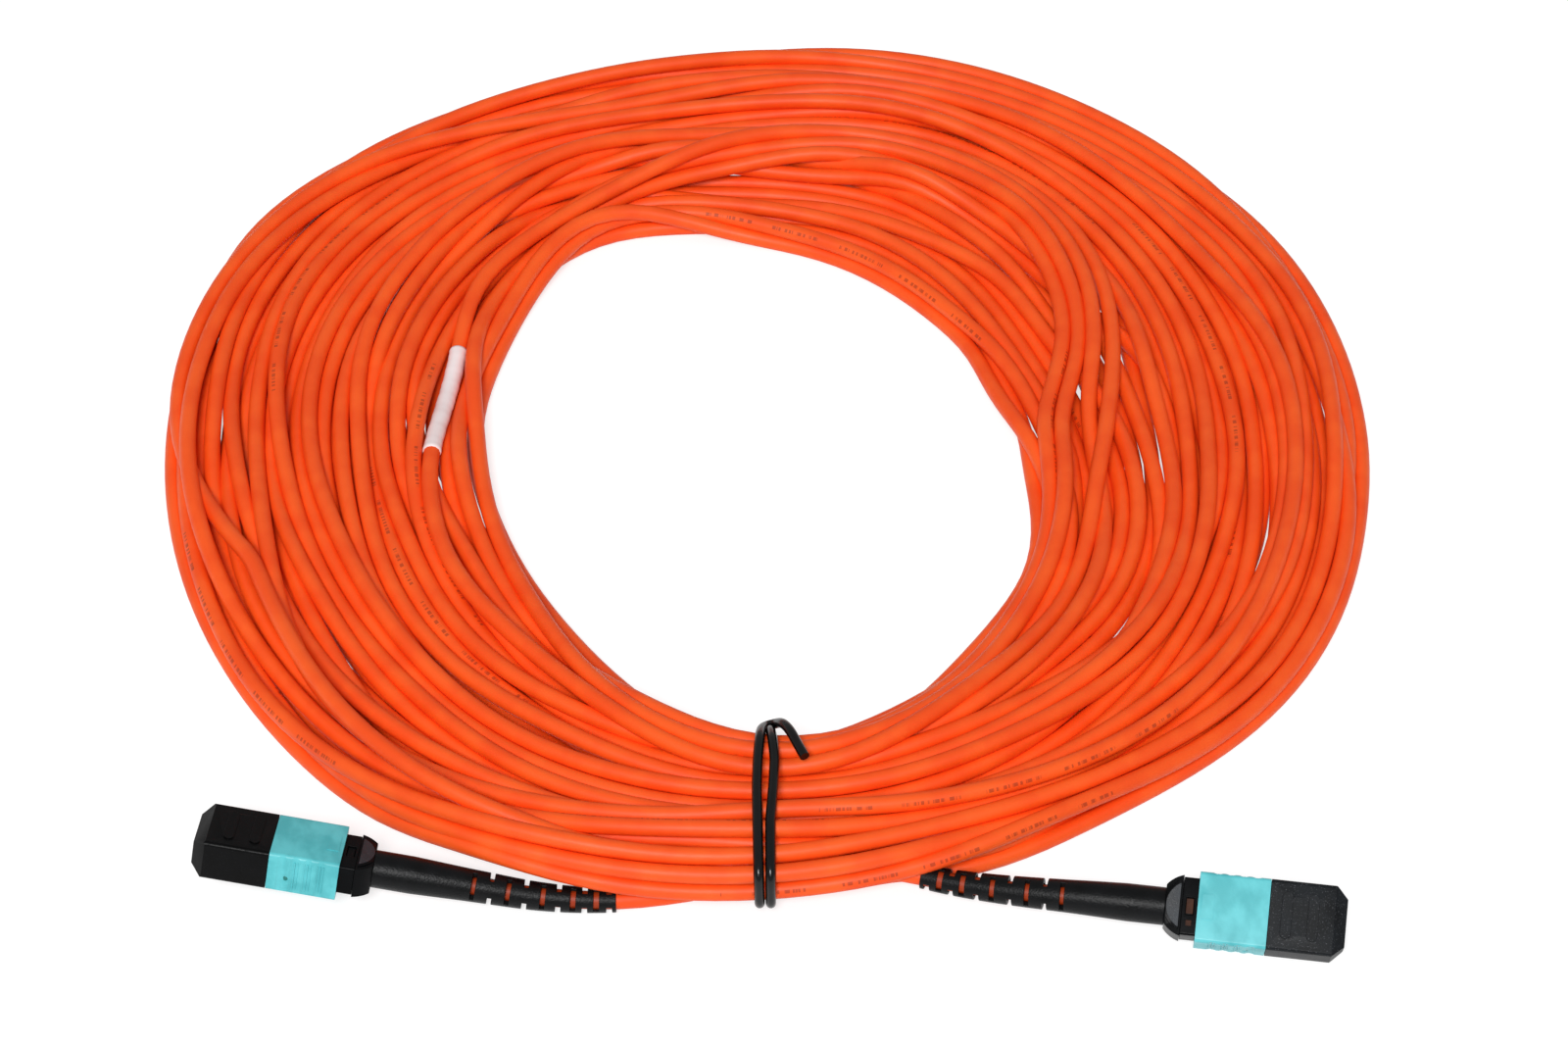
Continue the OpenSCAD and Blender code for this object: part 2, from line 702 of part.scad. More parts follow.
// Every other slot is turned a quarter round the boot.
module slot_at(plug, s, i) {
    d = unit(boot_point(plug, s + 0.1) - boot_point(plug, s - 0.1));
    translate(boot_point(plug, s))
        rotate([0, -asin(d.z), atan2(d.y, d.x)])
            rotate([plug[5] + 90 * (i % 2), 0, 0])
                children();
}

// ---------------------------------------------------------------- the cord

module cable_coil() {
    color("#f05a22") tube(coil_path, cable_d / 2, coil_sides, [0, 0, 1], coil_in, coil_out);
}

module cable_tail_a() {
    color("#f05a22") tube(tail_a_path, cable_d / 2, tail_sides, [0, 0, 1], undef, coil_in);
}

module cable_tail_b() {
    color("#f05a22") tube(tail_b_path, cable_d / 2, tail_sides, [0, 0, 1], coil_out, undef);
}

// Two wraps of wire round the bundle, with both ends on top of it.
module wire_tie() {
    reach = cable_d / 2 + tie_gap + tie_d / 2;
    low = tie_d / 2 + reach;
    high = max([for (c = tie_crossings) c.z]);
    front = route_a[1].y;
    back = max([for (c = tie_crossings) c.y]);
    top = high + reach;
    // The corners of the bundle that the wire bends round, from the top at the front.
    corners = [[front, high, 90], [front, low, 180], [back, low, 270], [back, high, 360]];
    wraps = 2;
    rows = [for (w = [1 : wraps], c = corners, k = [0 : 3])
        [c[0] + reach * cos(c[2] + 30 * k), c[1] + reach * sin(c[2] + 30 * k)]];
    n = len(rows) - 1;
    wrap_half = 1.2;
    path = concat(
        [
            [tie_x + 8.5, 15.9, top + 2], [tie_x + 5, 20.9, top + 1.2],
            [tie_x + 2.4, 20.9, top + 0.4], [tie_x + 1.4, 14.9, top],
        ],
        [for (i = [0 : n]) [tie_x + mix(wrap_half, -wrap_half, i / n), rows[i].x, rows[i].y]],
        [[tie_x - 1.4, 26.9, top], [tie_x - 2.4, 20.9, top + 0.8], [tie_x - 4, 16.9, top + 1.6]]
    );
    color("#151515") tube(path, tie_d / 2, 8, [1, 0, 0]);
}

module label_sleeve() {
    half = label_steps / 2;
    marks = [
        label_centre - half,
        for (i = [ceil(label_centre - half) : floor(label_centre + half)]) i,
        label_centre + half,
    ];
    path = [for (m = marks) coil_chord(m)];
    last = len(path) - 1;
    through = concat([2 * path[0] - path[1]], path, [2 * path[last] - path[last - 1]]);
    color("#f2f2f0")
    difference() {
        tube(path, cable_d / 2 + label_gap + label_wall, 12);
        tube(through, cable_d / 2 + label_gap, 12);
    }
}

cable_tail_a();
cable_coil();
cable_tail_b();
wire_tie();
label_sleeve();
place(plug_a) dust_cap();  // dust_cap_a
place(plug_a) coupling_housing();  // coupling_housing_a
place(plug_a) coupling_springs();  // coupling_springs_a
place(plug_a) inner_housing();  // inner_housing_a
place(plug_a) ferrule();  // ferrule_a
place(plug_a) pin_clamp();  // pin_clamp_a
place(plug_a) ferrule_boot();  // ferrule_boot_a
place(plug_a) fibre_ribbon();  // fibre_ribbon_a
place(plug_a) main_spring();  // main_spring_a
place(plug_a) spring_push();  // spring_push_a
place(plug_a) aramid_sleeve();  // aramid_sleeve_a
place(plug_a) crimp_ring();  // crimp_ring_a
strain_boot(plug_a);  // strain_boot_a
place(plug_b) dust_cap();  // dust_cap_b
place(plug_b) coupling_housing();  // coupling_housing_b
place(plug_b) coupling_springs();  // coupling_springs_b
place(plug_b) inner_housing();  // inner_housing_b
place(plug_b) ferrule();  // ferrule_b
place(plug_b) pin_clamp();  // pin_clamp_b
place(plug_b) ferrule_boot();  // ferrule_boot_b
place(plug_b) fibre_ribbon();  // fibre_ribbon_b
place(plug_b) main_spring();  // main_spring_b
place(plug_b) spring_push();  // spring_push_b
place(plug_b) aramid_sleeve();  // aramid_sleeve_b
place(plug_b) crimp_ring();  // crimp_ring_b
strain_boot(plug_b);  // strain_boot_b
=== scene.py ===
"""A multi-fibre patch cord: a tied coil of round fibre cord with a push-on plug at each end.

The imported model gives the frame: metres, +Z up, the floor at z = 0 and the origin midway
between the two plugs. Each plug also has a frame of its own, in which +X points out of the
nose, x = 0 is the front edge of the sliding housing, Y runs across the wide face and Z is
the plug's thickness.
"""

from __future__ import annotations

import functools
import json
import logging
import math
from collections.abc import Callable
from dataclasses import dataclass, field
from enum import Enum
from typing import Protocol

import bmesh
import bpy
import numpy as np
from mathutils import Matrix, Vector

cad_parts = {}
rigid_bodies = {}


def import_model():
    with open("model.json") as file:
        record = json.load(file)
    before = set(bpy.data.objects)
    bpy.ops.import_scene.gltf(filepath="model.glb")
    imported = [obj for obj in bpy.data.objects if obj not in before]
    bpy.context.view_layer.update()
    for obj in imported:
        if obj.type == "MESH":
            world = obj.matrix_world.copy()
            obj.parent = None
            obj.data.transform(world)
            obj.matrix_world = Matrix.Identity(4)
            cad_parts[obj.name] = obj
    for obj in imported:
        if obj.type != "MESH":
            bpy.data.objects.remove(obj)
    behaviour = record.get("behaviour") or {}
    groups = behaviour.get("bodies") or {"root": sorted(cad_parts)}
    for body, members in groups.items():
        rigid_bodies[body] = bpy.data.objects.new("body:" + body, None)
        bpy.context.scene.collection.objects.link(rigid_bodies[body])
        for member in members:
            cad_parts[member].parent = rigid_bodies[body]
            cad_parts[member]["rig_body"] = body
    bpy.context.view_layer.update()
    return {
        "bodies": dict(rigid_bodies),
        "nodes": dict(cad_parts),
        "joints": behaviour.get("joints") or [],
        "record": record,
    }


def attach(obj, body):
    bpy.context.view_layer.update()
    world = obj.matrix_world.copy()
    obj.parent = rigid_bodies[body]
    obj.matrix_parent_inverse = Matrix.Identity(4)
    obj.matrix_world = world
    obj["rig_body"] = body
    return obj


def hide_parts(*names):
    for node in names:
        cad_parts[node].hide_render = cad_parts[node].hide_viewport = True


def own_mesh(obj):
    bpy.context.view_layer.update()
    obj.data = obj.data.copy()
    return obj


LOG = logging.getLogger("patch_cord")
MM = 0.001
# The angle in degrees from which an edge counts as sharp.
SHARP = 32
Colour = tuple[float, float, float, float]


class End(Enum):
    """The two ends of the cord."""

    A = "a"
    B = "b"


# ---------------------------------------------------------------- shader language


def operator(operation: str, swapped: bool = False) -> Callable[..., Value]:
    """Makes a method of Value that adds a Math node.

    Args:
        operation: The node's operation.
        swapped: Whether the value comes after the other term.

    Returns:
        The method, which takes the other term where the operation has one.
    """

    def method(self: Value, *other: Term) -> Value:
        """Adds the node for this value and the other term."""
        return self.shader.math(operation, *((*other, self) if swapped else (self, *other)))

    return method


class Value:
    """A shader socket that takes part in Python arithmetic."""

    __add__ = __radd__ = operator("ADD")
    __mul__ = __rmul__ = operator("MULTIPLY")
    __sub__ = operator("SUBTRACT")
    __rsub__ = operator("SUBTRACT", swapped=True)
    __truediv__ = operator("DIVIDE")
    # 1 where the value is below the other term, and 0 elsewhere.
    below = operator("LESS_THAN")
    # The part after the point, the value without its sign, and its sine.
    fraction = operator("FRACT")
    size = operator("ABSOLUTE")
    wave = operator("SINE")

    def __init__(self, shader: Shader, socket: bpy.types.NodeSocket) -> None:
        """Keeps the socket and the shader that it belongs to."""
        self.shader = shader
        self.socket = socket

    def ease(self, low: float, high: float, start: float = 0.0, end: float = 1.0) -> Value:
        """Maps low..high smoothly onto start..end.

        Args:
            low: The value that becomes start.
            high: The value that becomes end.
            start: The result at and below low.
            end: The result at and above high.

        Returns:
            The mapped value.
        """
        ranges = {"From Min": low, "From Max": high, "To Min": start, "To Max": end}
        return self.shader.node(
            "ShaderNodeMapRange", {"interpolation_type": "SMOOTHSTEP"}, {"Value": self, **ranges}
        )


Term = Value | float


class Shader:
    """One material's node tree, built with Python expressions."""

    def __init__(self, name: str) -> None:
        """Starts an empty material.

        Args:
            name: The material's name.
        """
        self.material = bpy.data.materials.new(name)
        self.material.use_nodes = True
        self.tree = self.material.node_tree
        self.tree.nodes.clear()

    def node(
        self,
        kind: str,
        settings: dict[str, object] | None = None,
        inputs: dict[str | int, object] | None = None,
        output: str | int = 0,
    ) -> Value:
        """Adds a node.

        Args:
            kind: The node's type.
            settings: Its own settings, set before the sockets.
            inputs: Values or links for its sockets, by name or number.
            output: The socket to hand back.

        Returns:
            The node's output as a value.
        """
        made = self.tree.nodes.new(kind)
        for key, setting in (settings or {}).items():
            setattr(made, key, setting)
        for key, value in (inputs or {}).items():
            if isinstance(value, Value):
                self.tree.links.new(value.socket, made.inputs[key])
            else:
                made.inputs[key].default_value = value
        return Value(self, made.outputs[output] if made.outputs else None)

    def math(self, operation: str, *terms: Term) -> Value:
        """Adds a Math node for an operation on values and numbers."""
        return self.node("ShaderNodeMath", {"operation": operation}, dict(enumerate(terms)))

    def mix(self, factor: Term, low: Colour | Value, high: Colour | Value) -> Value:
        """Mixes two colours, from low at a factor of 0 to high at 1."""
        inputs = {"Factor": factor, 6: low, 7: high}
        return self.node("ShaderNodeMix", {"data_type": "RGBA"}, inputs, 2)

    def place(self) -> Value:
        """Gives the point's place in the model's frame, in metres."""
        return self.node("ShaderNodeTexCoord", output="Object")

    def part(self, vector: Value, axis: str) -> Value:
        """Gives one part of a vector, by the name of its axis."""
        return self.node("ShaderNodeSeparateXYZ", inputs={0: vector}, output=axis)

    def stretched(self, vector: Value, scale: tuple[float, float, float]) -> Value:
        """Scales a vector's three parts."""
        settings = {"operation": "MULTIPLY"}
        return self.node("ShaderNodeVectorMath", settings, {0: vector, 1: scale})

    def noise(self, vector: Value, grain: float, detail: float = 2.0) -> Value:
        """Gives a cloudy pattern from 0 to 1, with clouds of a grain in metres."""
        inputs = {"Vector": vector, "Scale": 1 / grain, "Detail": detail}
        return self.node("ShaderNodeTexNoise", {"noise_dimensions": "3D"}, inputs)

    def bump(self, height: Value, depth: float, under: Value | None = None) -> Value:
        """Turns a height from 0 to 1 into a bumped normal.

        Args:
            height: The height.
            depth: What a height of 1 measures, in metres.
            under: A normal that this one lies on.

        Returns:
            The normal.
        """
        inputs = {"Height": height, "Distance": depth, "Strength": 1.0}
        if under is not None:
            inputs["Normal"] = under
        return self.node("ShaderNodeBump", inputs=inputs)

    def finish(self, **sockets: Term | Value | Colour) -> bpy.types.Material:
        """Ends the material in one Principled shader.

        Args:
            **sockets: The shader's sockets, with _ for a space in their names.

        Returns:
            The material.
        """
        inputs = {key.replace("_", " "): value for key, value in sockets.items()}
        surface = self.node("ShaderNodeBsdfPrincipled", inputs=inputs)
        self.node("ShaderNodeOutputMaterial", inputs={"Surface": surface})
        return self.material


def paint(code: str) -> Colour:
    """Turns a colour code into linear light.

    Args:
        code: The code, such as #ff8040.

    Returns:
        Red, green, blue and alpha.
    """
    parts = [int(code[i : i + 2], 16) / 255 for i in (1, 3, 5)]
    linear = [c / 12.92 if c <= 0.04045 else ((c + 0.055) / 1.055) ** 2.4 for c in parts]
    return (*linear, 1.0)


# --------------------------------------------------------------------- finishes


class Finish(Protocol):
    """A finish, which builds its own material."""

    def material(self) -> bpy.types.Material:
        """Builds the material."""


@dataclass(frozen=True)
class Jacket:
    """The extruded jacket of the cord, which reads its own UV map.

    U runs once round the cord, with 0.25 on top, and V is the distance along it in metres.
    """

    length: float = 20.0
    colour: str = "#ff5f1a"
    deep: str = "#f7500f"
    roughness: float = 0.5
    mark: str = "#5a1e10"
    # The colour of the painted shade inside the boots, and the length of cord that each boot
    # covers.
    boot_shadow_colour: str = "#7a2408"
    sheathed: float = 35 * MM

    def material(self) -> bpy.types.Material:
        """Builds the material.

        Returns:
            The material.
        """
        s = Shader("jacket")
        place = s.place()
        uv = s.node("ShaderNodeUVMap", {"uv_map": "cord"})
        around, along = s.part(uv, "X"), s.part(uv, "Y")
        clouds = s.noise(place, 9 * MM, 3)
        colour = s.mix(clouds.ease(0.3, 0.7), paint(self.colour), paint(self.deep))
        colour = s.mix(self._marks(s, uv, around, along) * 0.5, colour, paint(self.mark))
        # Painted shade: the jacket darkens within the sheathed length at both ends, where the boots
        # shade the cord.
        end = s.math("MINIMUM", along, self.length - along)
        colour = s.mix(end.below(self.sheathed) * 0.75, colour, paint(self.boot_shadow_colour))
        drawn = s.noise(s.stretched(uv, (0.05, 1, 1)), 1.6 * MM, 2)
        skin = s.noise(place, 0.16 * MM, 2)
        normal = s.bump(drawn, 0.02 * MM, s.bump(skin, 0.006 * MM))
        rough = self.roughness + (clouds - 0.5) * 0.16 + (skin - 0.5) * 0.08
        return s.finish(
            Base_Color=colour,
            Roughness=rough,
            Normal=normal,
            Specular_IOR_Level=0.36,
            Subsurface_Weight=0.04,
            Subsurface_Scale=0.6 * MM,
        )

    @staticmethod
    def _marks(s: Shader, uv: Value, around: Value, along: Value) -> Value:
        """Gives plain dashes in groups, which wander slowly round the jacket.

        Args:
            s: The shader.
            uv: The cord's own coordinates.
            around: Their part once round the cord.
            along: Their part along the cord.

        Returns:
            1 on a dash and 0 elsewhere.
        """
        line = 0.25 + (along * 3.1).wave() * 0.16
        band = (around - line).size().ease(0.028, 0.042, 1, 0)
        group = (along / 0.73).fraction().below(0.1)
        dash = s.noise(s.stretched(uv, (0, 1, 1)), 0.9 * MM, 1).ease(0.47, 0.53)
        gap = (along / (15 * MM)).fraction().below(0.7)
        return band * group * dash * gap


@dataclass(frozen=True)
class Moulded:
    """An injection-moulded plastic with a fine spark texture and faint flow marks."""

    name: str
    colour: str
    tint: str
    roughness: float = 0.45
    spark: float = 0.008
    grain: float = 0.14
    gloss: float = 0.5
    # The share of light grey specks: partly dust and partly painted glints on the spark texture.
    dust: float = 0.0

    def material(self) -> bpy.types.Material:
        """Builds the material.

        Returns:
            The material.
        """
        s = Shader(self.name)
        place = s.place()
        flow = s.noise(s.stretched(place, (1, 0.6, 1)), 3.5 * MM, 4)
        grain = s.noise(place, self.grain * MM, 2)
        scratch = s.noise(s.stretched(place, (1, 7, 5)), 1.2 * MM, 3).ease(0.6, 0.72)
        colour = s.mix(flow.ease(0.32, 0.68), paint(self.colour), paint(self.tint))
        # Light grey specks, partly dust and partly painted glints of the spark texture.
        if self.dust:
            dust_and_glint_specks = s.noise(place, 0.22 * MM, 2).ease(0.6, 0.74) * self.dust
            colour = s.mix(dust_and_glint_specks, colour, paint("#8d9096"))
        rough = self.roughness + (flow - 0.5) * 0.14 + (grain - 0.5) * 0.16 + scratch * 0.08
        normal = s.bump(grain, self.spark * MM, s.bump(scratch, 0.004 * MM))
        return s.finish(
            Base_Color=colour, Roughness=rough, Normal=normal, Specular_IOR_Level=self.gloss
        )


@dataclass(frozen=True)
class Metal:
    """A drawn or turned metal with fine lines across and dulled patches."""

    name: str
    colour: str
    roughness: float = 0.28

    def material(self) -> bpy.types.Material:
        """Builds the material.

        Returns:
            The material.
        """
        s = Shader(self.name)
        place = s.place()
        lines = s.noise(s.stretched(place, (6, 1, 1)), 0.5 * MM, 3)
        dull = s.noise(place, 1.8 * MM, 3)
        colour = s.mix(dull.ease(0.3, 0.8), paint(self.colour), paint("#77797d"))
        rough = self.roughness + (lines - 0.5) * 0.16 + dull * 0.1
        normal = s.bump(lines, 0.004 * MM)
        return s.finish(Base_Color=colour, Metallic=1.0, Roughness=rough, Normal=normal)


@dataclass(frozen=True)
class Yarn:
    """Strength yarn laid along the plug under the crimp."""

    colour: str = "#dcc04a"

    def material(self) -> bpy.types.Material:
        """Builds the material.

        Returns:
            The material.
        """
        s = Shader("aramid")
        strands = s.noise(s.stretched(s.place(), (0.4, 4, 4)), 0.5 * MM, 3)
        colour = s.mix(strands, paint(self.colour), paint("#8f7420"))
        normal = s.bump(strands, 0.04 * MM)
        return s.finish(
            Base_Color=colour, Roughness=0.55 + strands * 0.2, Normal=normal, Sheen_Weight=0.3
        )


@dataclass(frozen=True)
class Fibre:
    """Bare glass fibre and its clear ribbon matrix."""

    colour: str = "#dfe8ec"

    def material(self) -> bpy.types.Material:
        """Builds the material.

        Returns:
            The material.
        """
        s = Shader("fibre")
        place = s.place()
        ribs = s.noise(s.stretched(place, (0.2, 3, 3)), 0.25 * MM, 2)
        colour = s.mix(ribs, paint(self.colour), paint("#a8c4cf"))
        return s.finish(
            Base_Color=colour,
            Roughness=0.12 + ribs * 0.12,
            Normal=s.bump(ribs, 0.01 * MM),
            Coat_Weight=0.6,
        )


@dataclass(frozen=True)
class Sleeve:
    """The white shrink sleeve, slightly creased, with a faint pink mottle."""

    colour: str = "#fbeeee"

    def material(self) -> bpy.types.Material:
        """Builds the material.

        Returns:
            The material.
        """
        s = Shader("label")
        place = s.place()
        creases = s.noise(s.stretched(place, (1, 0.25, 1)), 1.4 * MM, 3)
        mottle = s.noise(place, 5 * MM, 2)
        colour = s.mix(mottle.ease(0.3, 0.8), paint(self.colour), paint("#f0dcdb"))
        rough = 0.34 + creases * 0.2
        return s.finish(Base_Color=colour, Roughness=rough, Normal=s.bump(creases, 0.05 * MM))


@functools.cache
def dressed(finish: Finish) -> bpy.types.Material:
    """Builds a finish's material once, for all the pieces that wear it."""
    return finish.material()


AQUA = Moulded("aqua", "#66cdd4", "#50b6bd", roughness=0.4, spark=0.012, grain=0.2, gloss=0.4)
CAP_BLACK = Moulded("cap_black", "#050505", "#080809", roughness=0.34, gloss=0.09, dust=0.03)
# Cap B's lighter, bluish copy of the cap black, with more specks: partly its dust and partly
# painted sheen where it faces the lamp.
CAP_DUST_AND_SHEEN = Moulded("cap_dust_and_sheen", "#0a0d10", "#15191d", roughness=0.48, gloss=0.18, dust=0.3)
# The dimples' floors: a darker green that paints the shade inside them.
DIMPLE_SHADE_GREEN = Moulded("dimple", "#1b706a", "#257c76", roughness=0.5)
BODY_BLACK = Moulded("body_black", "#060708", "#0b0c0e", roughness=0.3, gloss=0.06)
PAD_BLACK = Moulded(
    "pad_black", "#14191e", "#20272f", roughness=0.42, spark=0.05, dust=0.3, gloss=0.5
)
LATCH_BROWN = Moulded("latch_brown", "#4d2a17", "#321a10", roughness=0.5, gloss=0.15)
RUBBER = Moulded(
    "boot_rubber", "#08090a", "#0e0f11", roughness=0.38, spark=0.06, grain=0.34, gloss=0.16
)
FERRULE_RESIN = Moulded("ferrule_resin", "#25262a", "#2f3136", roughness=0.32, spark=0.004)
CLAMP_RESIN = Moulded("clamp_resin", "#c9b88a", "#bca878", roughness=0.4)
SOFT_BLACK = Moulded("soft_black", "#333335", "#3d3d40", roughness=0.65, spark=0.012)
WIRE_BLACK = Moulded("wire_black", "#060606", "#0b0b0c", roughness=0.2, spark=0.003, gloss=0.35)
SPRING_STEEL = Metal("spring_steel", "#b8bcc0", 0.22)
CRIMP_METAL = Metal("crimp_metal", "#aab0b6", 0.34)
YARN = Yarn()
FIBRE = Fibre()
SLEEVE = Sleeve()


# ------------------------------------------------------------------- mesh helpers


def unit(vector: np.ndarray) -> np.ndarray:
    """Gives vectors the length 1."""
    return vector / np.linalg.norm(vector, axis=-1, keepdims=True)


def smooth_step(share: float | np.ndarray) -> float | np.ndarray:
    """Eases 0..1 in and out."""
    k = np.clip(share, 0, 1)
    return k * k * (3 - 2 * k)


def travelled(line: np.ndarray) -> np.ndarray:
    """Gives the way along a line to each of its points."""
    steps = np.linalg.norm(np.diff(line, axis=0), axis=1)
    return np.concatenate([[0], np.cumsum(steps)])


def resampled(line: np.ndarray, marks: np.ndarray) -> np.ndarray:
    """Gives the points that lie at some distances along a line."""
    reach = travelled(line)
    return np.stack([np.interp(marks, reach, part) for part in line.T], axis=1)


def eased_line(points: np.ndarray, spacing: float) -> np.ndarray:
    """Runs a smooth line through points, which may lie unevenly.

    Args:
        points: The points, one per row.
        spacing: The distance between the points of the result.

    Returns:
        Points along the line, evenly spaced.
    """
    gaps = np.diff(points, axis=0)
    steps = np.linalg.norm(gaps, axis=1)
    slopes = gaps / steps[:, None]
    before, after = steps[:-1, None], steps[1:, None]
    inner = (before * slopes[1:] + after * slopes[:-1]) / (before + after)
    tangents = np.vstack([slopes[:1], inner, slopes[-1:]])
    fine = 8
    k = (np.arange(fine) / fine)[None, :, None]
    a, b = points[:-1, None], points[1:, None]
    span = steps[:, None, None]
    start, end = tangents[:-1, None] * span, tangents[1:, None] * span
    curve = (
        (1 + 2 * k) * (1 - k) ** 2 * a
        + k * (1 - k) ** 2 * start
        + k * k * (3 - 2 * k) * b
        + k * k * (k - 1) * end
    )
    line = np.vstack([curve.reshape(-1, 3), points[-1:]])
    length = travelled(line)[-1]
    return resampled(line, np.linspace(0, length, max(2, round(length / spacing) + 1)))


def linked(name: str, mesh: bpy.types.Mesh, finish: Finish) -> bpy.types.Object:
    """Puts a finished mesh in the scene.

    Args:
        name: The piece's name.
        mesh: Its mesh, with its place in it.
        finish: The finish that it wears.

    Returns:
        The new object.
    """
    piece = bpy.data.objects.new(name, mesh)
    mesh.materials.clear()
    mesh.materials.append(dressed(finish))
    bpy.context.scene.collection.objects.link(piece)
    return piece


def from_bmesh(name: str, bm: bmesh.types.BMesh, finish: Finish, place: Matrix) -> bpy.types.Object:
    """Turns a bmesh into a shaded piece.

    Args:
        name: The piece's name.
        bm: The bmesh, which is freed.
        finish: The finish that it wears.
        place: Where its own frame lies in the model's frame.

    Returns:
        The new object.
    """
    bm.transform(place)
    mesh = bpy.data.meshes.new(name)
    bm.to_mesh(mesh)
    bm.free()
    mesh.shade_smooth()
    mesh.set_sharp_from_angle(angle=math.radians(SHARP))
    return linked(name, mesh, finish)


def soften(piece: bpy.types.Object, width: float, angle: float = SHARP) -> None:
    """Rounds a piece's sharp edges with a live Bevel.

    Args:
        piece: The piece.
        width: The bevel's width.
        angle: The angle from which an edge is rounded, in degrees.
    """
    bevel = piece.modifiers.new("edge", "BEVEL")
    bevel.width = width
    bevel.segments = 2
    bevel.limit_method = "ANGLE"
    bevel.angle_limit = math.radians(angle)
    bevel.use_clamp_overlap = True
    bevel.harden_normals = True


def box_mesh(bm: bmesh.types.BMesh, low: Vector, high: Vector) -> list[bmesh.types.BMVert]:
    """Adds a box.

    Args:
        bm: The bmesh that gets it.
        low: Its lowest corner.
        high: Its highest corner.

    Returns:
        Its vertices.
    """
    middle = (Vector(low) + Vector(high)) / 2
    size = Vector(high) - Vector(low)
    fit = Matrix.Translation(middle) @ Matrix.Diagonal((*size, 1))
    return bmesh.ops.create_cube(bm, size=1, matrix=fit)["verts"]


def tube_mesh(
    name: str, path: np.ndarray, radius: float | np.ndarray, sides: int, uv: str = "cord"
) -> bpy.types.Mesh:
    """Sweeps a round section along a path that is never upright.

    Args:
        name: The mesh's name.
        path: The centreline's points, one per row.
        radius: The tube's radius, or one for each point.
        sides: The corners of its section.
        uv: The name of its UV map: once round in U, and metres along in V.

    Returns:
        The closed tube.
    """
    count = len(path)
    heading = unit(np.gradient(path, axis=0))
    side = unit(np.cross(heading, [0, 0, 1]))
    up = np.cross(side, heading)
    turn = 2 * np.pi * np.arange(sides) / sides
    spread = np.cos(turn)[None, :, None] * side[:, None] + np.sin(turn)[None, :, None] * up[:, None]
    width = np.broadcast_to(np.asarray(radius, float), (count,))[:, None, None]
    corners = (path[:, None] + width * spread).reshape(-1, 3)
    ring, corner = np.meshgrid(np.arange(count - 1), np.arange(sides), indexing="ij")
    following = (corner + 1) % sides
    quads = np.stack(
        [
            ring * sides + corner,
            ring * sides + following,
            (ring + 1) * sides + following,
            (ring + 1) * sides + corner,
        ],
        axis=-1,
    ).reshape(-1, 4)
    caps = [list(range(sides))[::-1], list(range((count - 1) * sides, count * sides))]
    mesh = bpy.data.meshes.new(name)
    mesh.from_pydata(corners.tolist(), [], quads.tolist() + caps)
    reach = travelled(path)
    left, right = corner / sides, (corner + 1) / sides
    low, high = reach[ring], reach[ring + 1]
    flat = np.stack([left, low, right, low, right, high, left, high], axis=-1).reshape(-1)
    layer = mesh.uv_layers.new(name=uv)
    layer.data.foreach_set("uv", np.concatenate([flat, np.zeros(4 * sides)]).astype(np.float32))
    mesh.shade_smooth()
    return mesh


def refined(node: str, finish: Finish, width: float, frame: dict) -> bpy.types.Object:
    """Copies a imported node's shape, cleans it and rounds its edges.

    Args:
        node: The node, which the copy stands for.
        finish: The finish that it wears.
        width: The radius of its edges.

    Returns:
        The new piece, which replaces the node and rides on its body.
    """
    source = frame["nodes"][node]
    bm = bmesh.new()
    bm.from_mesh(source.data)
    bmesh.ops.remove_doubles(bm, verts=bm.verts, dist=0.001 * MM)
    bmesh.ops.dissolve_limit(bm, angle_limit=math.radians(1), verts=bm.verts, edges=bm.edges)
    piece = from_bmesh(f"{node}_skin", bm, finish, Matrix.Identity(4))
    soften(piece, width)
    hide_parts(node)
    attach(piece, source["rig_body"])
    return piece


# ------------------------------------------------------------------ plug and boot


